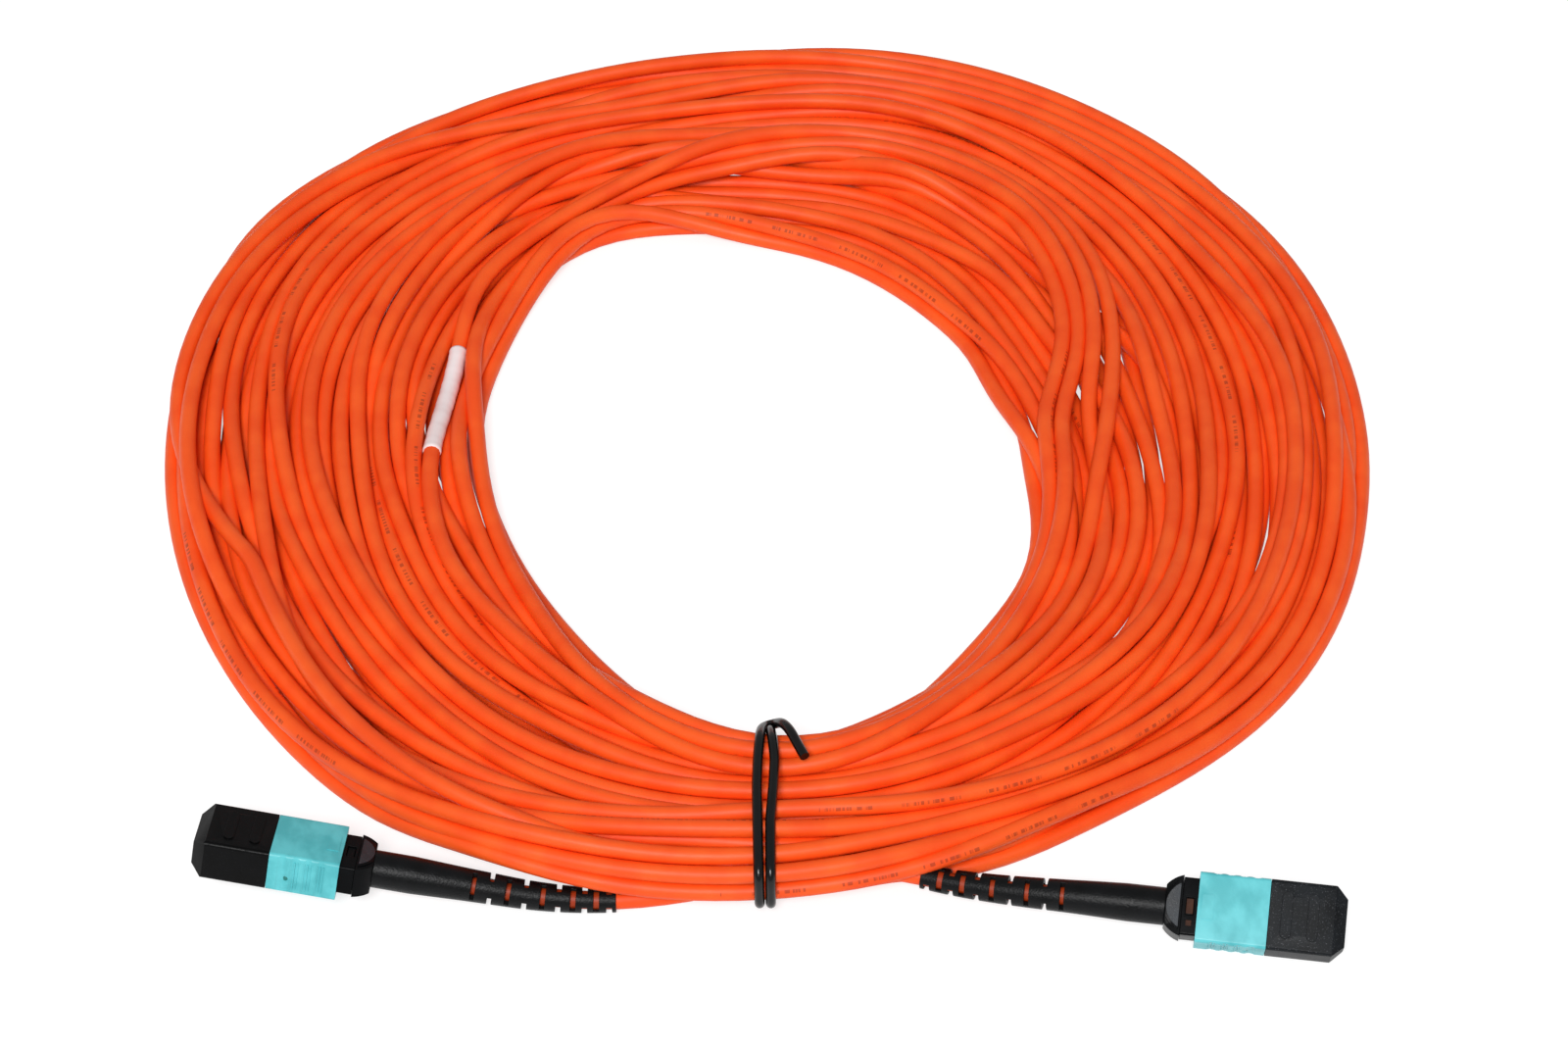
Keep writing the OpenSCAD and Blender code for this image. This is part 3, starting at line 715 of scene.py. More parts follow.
@dataclass(frozen=True)
class PlugPlace:
    """Where a plug lies, and how its boot leaves it. Its angles are in degrees."""

    end: End
    nose: tuple[float, float]
    heading: float
    roll: float
    boot_turn: float
    boot_end_height: float
    slot_roll: float
    rise: float
    straight: float
    housing: tuple[float, float, float] = (12.2 * MM, 7.6 * MM, 0.7 * MM)
    boot_root: float = -17.5 * MM
    boot_length: float = 42 * MM

    def origin(self) -> np.ndarray:
        """Gives the middle of the nose plane.

        The plug lies on its housing's edge, or its boot holds it up where the nose rises.

        Returns:
            The point in the model's frame.
        """
        wide, thick, corner = self.housing
        roll, rise = math.radians(self.roll), math.radians(self.rise)
        across = (wide / 2 - corner) * math.sin(roll)
        height = across + (thick / 2 - corner) * math.cos(roll) + corner
        if self.rise:
            reach = (self.boot_length + self.straight) / 2 - self.boot_root
            height = self.boot_end_height + math.sin(rise) * reach
        return np.array([*self.nose, height])

    def level(self) -> np.ndarray:
        """Gives the plug's heading over the floor."""
        turn = math.radians(self.heading)
        return np.array([math.cos(turn), math.sin(turn), 0])

    def axis(self) -> np.ndarray:
        """Gives the plug's own +X, out of its nose."""
        rise = math.radians(self.rise)
        return self.level() * math.cos(rise) + np.array([0, 0, math.sin(rise)])

    def matrix(self) -> Matrix:
        """Gives the plug's frame in the model's frame.

        Returns:
            The place, with the plug's heading, rise and roll.
        """
        turn = Matrix.Rotation(math.radians(self.heading), 4, "Z")
        tilt = Matrix.Rotation(-math.radians(self.rise), 4, "Y")
        roll = Matrix.Rotation(math.radians(self.roll), 4, "X")
        return Matrix.Translation(Vector(self.origin())) @ turn @ tilt @ roll

    def boot_point(self, distance: float) -> np.ndarray:
        """Gives a point of the boot's own line.

        Args:
            distance: The way along the line from the boot's root.

        Returns:
            The point in the model's frame.
        """
        root = self.origin() + self.boot_root * self.axis()
        slope = math.radians(self.rise)
        bent = max(0.0, distance - self.straight)
        reach = self.boot_length - self.straight
        turn = math.radians(self.boot_turn) * bent / reach
        kept = min(distance, self.straight)
        ahead = kept * math.cos(slope) + bent * (1 - turn**2 / 6)
        aside = bent * turn / 2
        fall = math.sin(slope) * (kept + bent - bent**2 / reach / 2)
        last = root[2] - math.sin(slope) * (self.boot_length + self.straight) / 2
        height = (self.boot_end_height - last) * smooth_step(bent / reach) - fall
        left = np.array([-self.level()[1], self.level()[0], 0])
        return root - ahead * self.level() - aside * left + np.array([0, 0, height])


@dataclass
class Boot:
    """The slotted strain-relief boot of one plug."""

    place: PlugPlace
    root_diameter: float = 6.5 * MM
    mid_diameter: float = 5.7 * MM
    end_diameter: float = 4.2 * MM
    bore: float = 3.6 * MM
    straight: float = 6.6 * MM
    slots_start: float = 16.3 * MM
    slot_lengths: tuple[float, float] = (1.0 * MM, 0.72 * MM)
    slot_half: float = 56
    slot_marks: tuple[float, ...] = (1.2, 3.4, 5.4, 7.4, 9.9, 12.6, 15.6, 18.6, 21.6, 24.6)
    sectors: int = 48

    def radius(self, distance: float) -> float:
        """Gives the boot's outer radius.

        Args:
            distance: The distance from its root.

        Returns:
            The radius.
        """
        marks = (0, self.straight, self.slots_start, self.place.boot_length)
        sizes = (self.root_diameter, self.root_diameter, self.mid_diameter, self.end_diameter)
        return float(np.interp(distance, marks, sizes)) / 2

    def slots(self) -> list[tuple[float, float, float]]:
        """Lists the slots.

        Returns:
            Each slot's start and end along the boot, and its turn round it in degrees.
        """
        found = []
        for i, mark in enumerate(self.slot_marks):
            middle = self.place.boot_length - mark * MM
            half = np.interp(mark, (self.slot_marks[0], self.slot_marks[-1]), self.slot_lengths) / 2
            found.append((middle - half, middle + half, self.place.slot_roll + 90 * (i % 2)))
        return found

    def rings(self) -> list[float]:
        """Chooses where the boot has a ring of corners.

        Returns:
            The rings' distances from its root.
        """
        edges = sorted(mark for slot in self.slots() for mark in slot[:2])
        stops = [0.0, 0.35 * MM, *edges, self.place.boot_length - 0.25 * MM, self.place.boot_length]
        marks = [stops[0]]
        for stop in stops[1:]:
            count = max(1, math.ceil((stop - marks[-1]) / (1.1 * MM)))
            marks += [marks[-1] + (stop - marks[-1]) * (i + 1) / count for i in range(count)]
        return marks

    def build(self) -> bpy.types.Object:
        """Builds the boot.

        Returns:
            The piece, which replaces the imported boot.
        """
        bm = bmesh.new()
        marks = self.rings()
        outer = [self._ring(bm, mark, self.radius(mark)) for mark in marks]
        inner = [self._ring(bm, mark, self.bore / 2) for mark in marks]
        open_at = self._openings(marks)
        for i in range(len(marks) - 1):
            for j in range(self.sectors):
                if open_at[i][j]:
                    continue
                k = (j + 1) % self.sectors
                bm.faces.new([outer[i][j], outer[i + 1][j], outer[i + 1][k], outer[i][k]])
                bm.faces.new([inner[i][k], inner[i + 1][k], inner[i + 1][j], inner[i][j]])
        self._close(bm, outer, inner)
        bmesh.ops.delete(bm, geom=[v for v in bm.verts if not v.link_faces], context="VERTS")
        bmesh.ops.recalc_face_normals(bm, faces=bm.faces)
        name = f"boot_{self.place.end.value}"
        piece = from_bmesh(name, bm, RUBBER, Matrix.Identity(4))
        soften(piece, 0.11 * MM, 40)
        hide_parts(f"strain_boot_{self.place.end.value}")
        return piece

    def _ring(self, bm: bmesh.types.BMesh, mark: float, radius: float) -> list[bmesh.types.BMVert]:
        """Adds one ring of corners round the boot's line.

        Args:
            bm: The boot's bmesh.
            mark: The ring's distance from the root.
            radius: The ring's radius.

        Returns:
            The corners in order.
        """
        step = 0.05 * MM
        middle = self.place.boot_point(mark)
        ahead = unit(self.place.boot_point(mark + step) - self.place.boot_point(mark - step))
        side = unit(np.cross(ahead, [0, 0, 1]))
        up = np.cross(side, ahead)
        turns = [2 * math.pi * (j + 0.5) / self.sectors for j in range(self.sectors)]
        return [
            bm.verts.new(middle + radius * (math.cos(t) * side + math.sin(t) * up)) for t in turns
        ]

    def _openings(self, marks: list[float]) -> list[list[bool]]:
        """Says which faces of the grid lie in a slot.

        Args:
            marks: The rings' distances from the root.

        Returns:
            A row for each gap between rings, with True where the face is left open.
        """
        grid = [[False] * self.sectors for _ in marks[:-1]]
        for start, end, turn in self.slots():
            for i, (low, high) in enumerate(zip(marks, marks[1:])):
                if start - 0.01 * MM < low and high < end + 0.01 * MM:
                    for j in range(self.sectors):
                        at = 360 * (j + 1) / self.sectors - 90 - turn
                        away = abs((at + 90) % 180 - 90)
                        grid[i][j] = away < self.slot_half
        return grid

    @staticmethod
    def _close(bm: bmesh.types.BMesh, outer: list, inner: list) -> None:
        """Joins the outer and inner skins along every open edge.

        Args:
            bm: The boot's bmesh.
            outer: The outer skin's rings.
            inner: The inner skin's rings.
        """
        across = {v: w for rows in zip(outer, inner) for v, w in zip(*rows)}
        open_edges = [e for e in bm.edges if len(e.link_faces) == 1 and e.verts[0] in across]
        for edge in open_edges:
            a, b = edge.verts
            bm.faces.new([a, b, across[b], across[a]])


@dataclass
class Plug:
    """One plug with its cap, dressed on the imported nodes."""

    place: PlugPlace
    frame: dict
    # The edges' radii: cap, sliding housing, body and rear body.
    edges: tuple[float, float, float, float] = (0.14 * MM, 0.3 * MM, 0.1 * MM, 0.12 * MM)
    travels: tuple[float, float] = (2.2 * MM, 0.9 * MM)
    rib_pitch: float = 0.55 * MM
    rib_count: int = 13
    rib_start: float = -11.2 * MM
    rib_middle: float = 5.88 * MM
    rib_size: float = 0.2 * MM
    rib_reach: float = 2.7 * MM
    pad_middle: float = -13.1 * MM
    pad_radius: float = 4.25 * MM
    pad_rear: float = -15.05 * MM
    pad_level: float = 3.12 * MM
    pad_height: float = 0.06 * MM
    # Each latch tongue in mm: its ends along the plug, its ends across it, and its top.
    latches: tuple[tuple[float, float, float, float, float], ...] = (
        (-13.9, -12.7, -1.3, 1.3, 2.78),
        (-13.8, -12.8, -3.4, -2.4, 2.82),
    )
    latch_height: float = 0.15
    dimple: tuple[float, float, float] = (-3.4, 5.9, -0.8)
    dimple_radius: float = 0.55 * MM
    dimple_height: float = 0.06 * MM

    def name(self, part: str) -> str:
        """Names a part of this plug."""
        return f"{part}_{self.place.end.value}"

    def build(self) -> list[bpy.types.Object]:
        """Builds every piece of the plug.

        Returns:
            The new pieces.
        """
        cap = CAP_DUST_AND_SHEEN if self.place.end is End.B else CAP_BLACK
        shells = {
            "dust_cap": cap,
            "coupling_housing": AQUA,
            "inner_housing": BODY_BLACK,
            "spring_push": BODY_BLACK,
        }
        pieces = [
            *(
                refined(self.name(part), finish, edge, self.frame)
                for (part, finish), edge in zip(shells.items(), self.edges)
            ),
            self._ribs(),
            self._pads(),
            self._latch_windows(),
            self._dimples(),
            self._spring("coupling_springs"),
            self._spring("main_spring"),
            Boot(self.place).build(),
        ]
        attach(pieces[-1], "cord_set")
        self._dress_hidden()
        return pieces

    def _dress_hidden(self) -> None:
        """Gives the carried-over nodes their finishes."""
        finishes = {
            "ferrule": FERRULE_RESIN,
            "pin_clamp": CLAMP_RESIN,
            "ferrule_boot": SOFT_BLACK,
            "fibre_ribbon": FIBRE,
            "aramid_sleeve": YARN,
            "crimp_ring": CRIMP_METAL,
        }
        for part, finish in finishes.items():
            node = self.frame["nodes"][self.name(part)]
            node.data.materials.clear()
            node.data.materials.append(dressed(finish))

    def _spring(self, part: str) -> bpy.types.Object:
        """Copies a packed spring onto the cord set.

        Args:
            part: The spring's part.

        Returns:
            The new piece.
        """
        node = self.frame["nodes"][self.name(part)]
        bm = bmesh.new()
        bm.from_mesh(node.data)
        bmesh.ops.remove_doubles(bm, verts=bm.verts, dist=0.001 * MM)
        axis = Vector(self.place.axis())
        name = f"{self.name(part)}_wire"
        piece = from_bmesh(name, bm, SPRING_STEEL, Matrix.Identity(4))
        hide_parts(node.name)
        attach(piece, "cord_set")
        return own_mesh(piece)

    def _ribs(self) -> bpy.types.Object:
        """Adds the fine grip ribs on the housing's narrow sides.

        Returns:
            The piece.
        """
        bm = bmesh.new()
        size, reach = self.rib_size, self.rib_reach
        for side in (-1, 1):
            for i in range(self.rib_count):
                x, y = self.rib_start + i * self.rib_pitch, side * self.rib_middle
                box_mesh(bm, Vector((x, y - size, -reach)), Vector((x + size, y + size, reach)))
        piece = from_bmesh(self.name("grip_ribs"), bm, AQUA, self.place.matrix())
        soften(piece, 0.05 * MM)
        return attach(piece, self.name("coupling"))

    def _pads(self) -> bpy.types.Object:
        """Adds the textured half-moon pads on the shoulders.

        Returns:
            The piece.
        """
        bm = bmesh.new()
        for side in (-1, 1):
            fit = Matrix.Translation((self.pad_middle, 0, side * self.pad_level))
            disc = bmesh.ops.create_circle(
                bm, cap_ends=True, radius=self.pad_radius, segments=64, matrix=fit
            )["verts"]
            faces = list({f for v in disc for f in v.link_faces})
            solid = bmesh.ops.extrude_face_region(bm, geom=faces)["geom"]
            raised = [v for v in solid if isinstance(v, bmesh.types.BMVert)]
            bmesh.ops.translate(bm, vec=(0, 0, side * self.pad_height), verts=raised)
        every = bm.verts[:] + bm.edges[:] + bm.faces[:]
        rear = (self.pad_rear, 0, 0)
        bmesh.ops.bisect_plane(
            bm, geom=every, plane_co=rear, plane_no=(1, 0, 0), clear_outer=True
        )
        rim = [e for e in bm.edges if e.is_boundary]
        bmesh.ops.holes_fill(bm, edges=rim)
        bmesh.ops.recalc_face_normals(bm, faces=bm.faces)
        piece = from_bmesh(self.name("shoulder_pads"), bm, PAD_BLACK, self.place.matrix())
        soften(piece, 0.05 * MM)
        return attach(piece, "cord_set")

    def _latch_windows(self) -> bpy.types.Object:
        """Adds the brown latch tongues on one wide face. Plug A is turned over.

        Returns:
            The piece.
        """
        bm = bmesh.new()
        side = 1 if self.place.end is End.B else -1
        for x0, x1, y0, y1, top in self.latches:
            ends = sorted((side * (top - self.latch_height), side * top))
            box_mesh(bm, Vector((x0, y0, ends[0])) * MM, Vector((x1, y1, ends[1])) * MM)
        piece = from_bmesh(self.name("latch_windows"), bm, LATCH_BROWN, self.place.matrix())
        soften(piece, 0.06 * MM)
        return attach(piece, "cord_set")

    def _dimples(self) -> bpy.types.Object:
        """Adds dark green discs on the floors of the round dimples on the housing's narrow sides,
        as painted shade.

        Returns:
            The piece.
        """
        bm = bmesh.new()
        x, y, z = self.dimple
        ends = {"radius1": self.dimple_radius, "radius2": self.dimple_radius}
        for side in (-1, 1):
            place = Matrix.Translation(Vector((x, side * y, z)) * MM)
            fit = place @ Matrix.Rotation(math.pi / 2, 4, "X")
            bmesh.ops.create_cone(
                bm, cap_ends=True, segments=20, depth=self.dimple_height, matrix=fit, **ends
            )
        piece = from_bmesh(self.name("dimples"), bm, DIMPLE_SHADE_GREEN, self.place.matrix())
        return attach(piece, self.name("coupling"))


# ------------------------------------------------------------------------ the cord


@dataclass(frozen=True)
class Settling:
    """How hard the turns are pushed while they settle."""

    rounds: int = 300
    # Every so many rounds the turns are spread anew.
    review: int = 15
    # The share of the rounds after which the turns no longer sink.
    calm: float = 0.97
    sink: float = 0.05 * MM
    spread: float = 0.01
    push: float = 0.35
    # The steps of a round that part the turns, before and after the late share.
    late: float = 0.8
    steps: tuple[int, int] = (3, 8)
    # The passes that even out the bends, sideways and upwards, and their softness.
    bends: tuple[int, int] = (6, 3)
    softness: float = 28
    flatten: float = 0.02
    last_passes: int = 2


@dataclass
class Winding:
    """The cord's own line: both boots, the free stretches and the piled turns.

    The turns are laid one after the other and then settled: they sink, keep a diameter
    apart, stay as straight as the cord's stiffness asks, and keep inside the coil's
    outline and the tie.
    """

    plug_a: PlugPlace
    plug_b: PlugPlace
    boot_radius: Callable[[float], float]
    diameter: float = 3.2 * MM
    turns: int = 36
    stations: int = 80
    first: float = 240.0
    centre: tuple[float, float] = (0.0, 0.1195)
    tie_at: float = 270.4
    seed: int = 5
    settling: Settling = Settling()
    spacing: float = 4 * MM
    route_a: tuple[tuple[float, float, float], ...] = (
        (-0.012, 0.004, 0.0016),
        (0.0008, 0.006, 0.0034),
        (0.014, 0.0065, 0.0018),
        (0.027, 0.0086, 0.0015),
    )
    route_b: tuple[tuple[float, float, float], ...] = (
        (-0.045, 0.0131, 0.0114),
        (-0.03, 0.0084, 0.009),
        (-0.014, 0.0074, 0.0072),
        (0.0008, 0.0078, 0.0063),
        (0.014, 0.0074, 0.0051),
    )
    # The coil's outline seen from above, as distances in mm from its centre every 15
    # degrees from +X.
    outer: tuple[float, ...] = (
        116.4, 116.6, 119, 116.5, 117.7, 125.3, 114.2, 112.5, 117, 118.2, 129.2, 117,
        120.3, 116.5, 117.7, 120.9, 123.2, 123, 119.9, 119.2, 115.9, 122.8, 118.2, 117,
    )  # fmt: skip
    inner: tuple[float, ...] = (
        36.6, 42.5, 38.7, 40.7, 44.9, 49.9, 52, 48, 65.1, 54.8, 53.2, 54.9,
        54, 51.7, 54, 59.9, 65.3, 74.1, 81.5, 79.2, 65.2, 63.6, 57.7, 48.9,
    )  # fmt: skip
    # The ledge's middle and half width in degrees, and the share of the coil's width that
    # the turns above it keep.
    ledge: tuple[float, float, float] = (58, 76, 0.56)
    low_turns: int = 18
    low_turns_under: float = 0.4
    edge_height: float = 4 * MM
    widest_gap: float = 2.6 * MM
    closing: float = 0.3
    # The label's middle in degrees and half its length. Its turn runs along a straight line,
    # which is nearest to the centre at one angle and at one distance.
    label_at: float = 178.9
    label_half_length: float = 15.4 * MM
    label_line: tuple[float, float] = (173, 61.9 * MM)
    # How far that line runs before and after, where it lets go of the turn, and where it ends.
    label_run: tuple[float, float] = (-22, 30)
    label_release: tuple[float, float] = (16, 110)
    label_grip: float = 120
    label_wall: float = 0.2 * MM
    late_turns: int = 10
    # The last turn's lead to its free stretch: degrees, distance and height at its start.
    lead: tuple[float, float, float] = (44, 104 * MM, 9 * MM)
    easing: tuple[float, ...] = (0.06, 0.12, 0.2, 0.24, 0.2, 0.12, 0.06)
    # The spans in turns of the slow and the quick drift, and the quick one's strength.
    drifts: tuple[float, float] = (2.4, 0.4)
    quickness: float = 0.12
    # The bundle's section in the tie: squareness, height of its middle and half its height.
    section: tuple[float, float, float] = (2.6, 7.2 * MM, 5.6 * MM)
    section_slack: float = 0.4 * MM
    tie_half: float = 2.8
    line: np.ndarray = field(default=None, repr=False)
    at_tie: np.ndarray = field(default=None, repr=False)
    label_stretch: np.ndarray = field(default=None, repr=False)

    def settle(self) -> None:
        """Settles the turns and keeps the line, the bundle at the tie and the label's place."""
        rows, columns = self.turns + 1, self.stations
        self.angles = self.first + 360 / columns * np.arange(rows * columns)
        self.outside = self._ring_value(self.outer) - self.diameter / 2
        self.inside = self._ring_value(self.inner) + self.diameter / 2
        self.reach = np.full(rows * columns, self.diameter / 2)
        tails = self._pin_tails()
        wanted = self.outside - (self.outside - self.inside) * self._shares()
        self.r = np.where(self.fixed, self.r, wanted)
        self._choose_label()
        self._lay()
        self._relax()
        self._gather(tails)

    def _ring_value(self, ring: tuple[float, ...]) -> np.ndarray:
        """Gives an outline's distance at every station.

        Args:
            ring: The outline's distances, in mm.

        Returns:
            The distances, in metres.
        """
        turn = (self.angles / 360 % 1) * len(ring)
        i = np.floor(turn).astype(int)
        values = np.array(ring) * MM
        a, b, c, d = (values[(i + k) % len(ring)] for k in (-1, 0, 1, 2))
        k = turn - i
        bend = a - 2.5 * b + 2 * c - d / 2 + k * (1.5 * (b - c) + (d - a) / 2)
        return b + k * ((c - a) / 2 + k * bend)

    def _polar(self, points: np.ndarray) -> tuple[np.ndarray, np.ndarray, np.ndarray]:
        """Measures points about the coil's centre.

        Args:
            points: The points, one per row.

        Returns:
            Their angles, distances and heights.
        """
        away = points[:, :2] - np.array(self.centre)
        angle = np.degrees(np.arctan2(away[:, 1], away[:, 0])) % 360
        return angle, np.linalg.norm(away, axis=1), points[:, 2]

    def _pin_tails(self) -> tuple[np.ndarray, np.ndarray]:
        """Pins the stations that the boots and free stretches hold.

        Returns:
            The points of the two tails, in the order in which the cord runs.
        """
        marks = np.linspace(6.4 * MM, self.plug_a.boot_length, 6)
        boot_a = np.array([self.plug_a.boot_point(m) for m in marks])
        boot_b = np.array([self.plug_b.boot_point(m) for m in marks[::-1]])
        tail_a = np.vstack([boot_a, self.route_a])
        tail_b = np.vstack([self.route_b, boot_b])
        self.r = np.zeros(len(self.angles))
        self.z = np.zeros(len(self.angles))
        self.fixed = np.ones(len(self.angles), bool)
        self.active = np.zeros(len(self.angles), bool)
        last = 360 * self.turns
        ends = []
        for tail, offset in ((tail_a, 0), (tail_b, last)):
            angle, r, z = self._polar(eased_line(tail, MM))
            low, high = angle[0] + offset, angle[-1] + offset
            ends.append((low, high))
            held = (self.angles >= low) & (self.angles <= high)
            at = self.angles[held] - offset
            self.r[held], self.z[held] = np.interp(at, angle, r), np.interp(at, angle, z)
        self.active[:] = (self.angles >= ends[0][0]) & (self.angles <= ends[1][1])
        self.laid = (self.angles > ends[0][1]) & (self.angles < ends[1][0])
        self.fixed[self.laid & (self.angles < ends[1][0] - self.lead[0])] = False
        self._lead_in(*self._polar(eased_line(tail_b, MM)), last)
        self._widen_boots(boot_a[::-1], 0)
        self._widen_boots(boot_b, last)
        return tail_a, tail_b

    def _lead_in(self, angle: np.ndarray, r: np.ndarray, z: np.ndarray, last: float) -> None:
        """Leads the last turn gently outwards and up to its free stretch.

        Args:
            angle: The angles of the free stretch's points.
            r: Their distances.
            z: Their heights.
            last: The angle that the last turn adds.
        """
        span, *start = self.lead
        k = (self.angles - (angle[0] + last - span)) / span
        led = (k >= 0) & (k < 1)
        k = k[led]
        for values, ends, first in ((self.r, r, start[0]), (self.z, z, start[1])):
            slope = (ends[3] - ends[0]) / (angle[3] - angle[0]) * span
            rest = (3 - 2 * k) * k * k
            values[led] = first + (ends[0] - first) * rest + slope * k * k * (k - 1)

    def _widen_boots(self, boot: np.ndarray, offset: float) -> None:
        """Gives the stations inside a boot the boot's radius.

        Args:
            boot: The boot's points, from its thin end.
            offset: The angle that the boot's turn adds.
        """
        angle, _, _ = self._polar(boot)
        low, high = min(angle) + offset, max(angle) + offset
        inside = (self.angles >= low) & (self.angles <= high) & self.fixed
        at_end = angle[0]
        share = np.abs(self.angles[inside] - offset - at_end) / max(1e-6, high - low)
        marks = self.plug_a.boot_length * (1 - share)
        self.reach[inside] = [self.boot_radius(m) for m in marks]

    def _shares(self) -> np.ndarray:
        """Gives each turn's wanted share of the way in, which wanders from turn to turn.

        The turns that are wound last lie on top. At the back they keep to the outside, so
        that the first turns show as a lower band at the coil's inner edge.

        Returns:
            0 at the coil's outer edge and 1 at its inner edge, for every station.
        """
        rng = np.random.default_rng(self.seed)
        turn = (self.angles - self.first) / 360
        slow, quick = (self._drift(rng, turn, span) for span in self.drifts)
        wander = slow + self.quickness * quick
        # The cord starts at the coil's outer edge and ends there.
        wander += 4 * (1 - smooth_step((turn - 0.5) / 0.35))
        wander += 2 * smooth_step((turn - self.turns + 0.3) / 0.3)
        return self._spread(-wander)

    @staticmethod
    def _drift(rng: np.random.Generator, turn: np.ndarray, span: float) -> np.ndarray:
        """Gives a smooth random drift from -1 to 1.

        Args:
            rng: The random numbers.
            turn: How many turns each station lies along the cord.
            span: How many turns the drift takes from one random value to the next.

        Returns:
            The drift at every station.
        """
        knots = rng.uniform(-1, 1, math.ceil(turn[-1] / span) + 4)
        at = turn / span
        i = np.floor(at).astype(int)
        k = smooth_step(at - i)
        return knots[i] * (1 - k) + knots[i + 1] * k

    def _spread(self, order: np.ndarray) -> np.ndarray:
        """Spaces the turns evenly over the coil's width, at every station.

        The first turns have the whole width. The last ones leave a ledge at the back.

        Args:
            order: A value for every station, which grows inwards.

        Returns:
            Each station's share of the way in.
        """
        rows = self.turns + 1
        ledge_at, ledge_half, ledge = self.ledge
        away = (self.angles[: self.stations] - ledge_at + 180) % 360 - 180
        bump = np.cos(np.radians(np.clip(away / ledge_half, -1, 1) * 90)) ** 2
        grid = order.reshape(rows, -1)
        parts = (grid[: self.low_turns], grid[self.low_turns :], grid)
        low, high, every = (self._ranked(part) for part in parts)
        low = np.interp(low, (0, self.low_turns_under, 1), (0, ledge, 1))
        layered = np.vstack([low, high * ledge])
        share = every + (layered - every) * bump
        return np.convolve(np.pad(share.ravel(), 3, mode="edge"), self.easing, "valid")

    @staticmethod
    def _ranked(grid: np.ndarray) -> np.ndarray:
        """Gives each station's rank among its column's, from 0 to 1."""
        return (np.argsort(np.argsort(grid, axis=0), axis=0) + 0.5) / len(grid)

    def _choose_label(self) -> None:
        """Picks a late turn for the label at the coil's left side and makes room for it."""
        nearest, least = self.label_line
        aside = np.radians(np.clip(self.angles % 360 - nearest, *self.label_run))
        distance = least / np.cos(aside)
        column = round((self.label_at - self.first) % 360 / 360 * self.stations)
        late = range(self.turns - self.late_turns, self.turns - 1)
        index = [row * self.stations + column for row in late]
        best = min(index, key=lambda i: abs(self.r[i] - distance[i]))
        away = np.abs(self.angles - self.angles[best])
        start, length = self.label_release
        self.label_pull = 1 - smooth_step((away - start) / length)
        self.label_distance = np.where(away < self.label_grip, distance, 0)
        self.label_centre = self.angles[best]
        self.label_half = math.degrees(self.label_half_length / distance[best])
        self.sleeved = away < self.label_half + 3
        self.reach[self.sleeved] = self.diameter / 2 + self.label_wall
        pulled = self.r + (self.label_distance - self.r) * self.label_pull
        self.r = np.where(self.fixed, self.r, pulled)

    def _lay(self) -> None:
        """Lays the turns one on the other at their wanted distances."""
        rows = self.turns + 1
        r = self.r.reshape(rows, -1)
        held = self.fixed.reshape(rows, -1)
        pinned = self.z.reshape(rows, -1)
        z = np.zeros_like(r)
        window = np.hanning(9) / np.hanning(9).sum()
        size = self.diameter
        for row in range(rows):
            rest = np.full(self.stations, size / 2)
            for under in range(row):
                aside = np.abs(r[row] - r[under])
                over = z[under] + np.sqrt(np.maximum(0, size**2 - aside**2))
                rest = np.where(aside < size, np.maximum(rest, over), rest)
            eased = np.convolve(np.pad(rest, 4, mode="edge"), window, "valid")
            z[row] = np.where(held[row], pinned[row], np.maximum(rest, eased))
        self.z = z.ravel()

    def _relax(self) -> None:
        """Lets the turns sink and settle, and keeps them evenly spread."""
        shape = (self.turns + 1, self.stations)
        pin_r, pin_z = self.r.copy(), self.z.copy()
        live = self.active.reshape(shape)
        both = live[:, None] & live[None]
        both &= ~np.eye(shape[0], dtype=bool)[:, :, None]
        reach = self.reach.reshape(shape)
        apart = reach[:, None] + reach[None]
        width = self.outside - self.inside
        way = self.settling
        for turn in range(way.rounds):
            share = turn / way.rounds
            if turn % way.review == 0:
                wanted = self.outside - width * self._spread(-self.r)
                wanted += (self.label_distance - wanted) * self.label_pull
            if share < way.calm:
                self.z -= way.sink * (1 - 0.8 * share)
                self.r += (wanted - self.r) * way.spread * (1 - share)
                self._stiffen()
            for _ in range(way.steps[share >= way.late]):
                self._close_gaps(shape)
                self._separate(shape, both, apart)
                np.maximum(self.z, self.reach, out=self.z)
                self._keep_in()
                self._tighten(shape)
                self.r[self.sleeved] = self.label_distance[self.sleeved]
                self.r[self.fixed] = pin_r[self.fixed]
                self.z[self.fixed] = pin_z[self.fixed]
        for _ in range(way.last_passes):
            for values, pins in ((self.r, pin_r), (self.z, pin_z)):
                values[1:-1] = (values[:-2] + 2 * values[1:-1] + values[2:]) / 4
                values[self.fixed] = pins[self.fixed]

    def _keep_in(self) -> None:
        """Keeps the turns inside the outline, as the camera sees it from the front."""
        high = np.maximum(0, self.z - self.edge_height)
        tilt = np.sin(np.radians(self.angles))
        nearest = self.inside + high * np.maximum(0, -tilt)
        furthest = self.outside - high * np.maximum(0, tilt)
        np.clip(self.r, nearest, furthest, out=self.r)

    def _stiffen(self) -> None:
        """Evens out the bends along the cord."""
        for values, passes in zip((self.r, self.z), self.settling.bends):
            for _ in range(passes):
                p = np.pad(values, 2, mode="edge")
                bend = p[:-4] - 4 * p[1:-3] + 6 * p[2:-2] - 4 * p[3:-1] + p[4:]
                values -= bend / self.settling.softness
        p = np.pad(self.z, 1, mode="edge")
        self.z += self.settling.flatten * ((p[:-2] + p[2:]) / 2 - self.z)

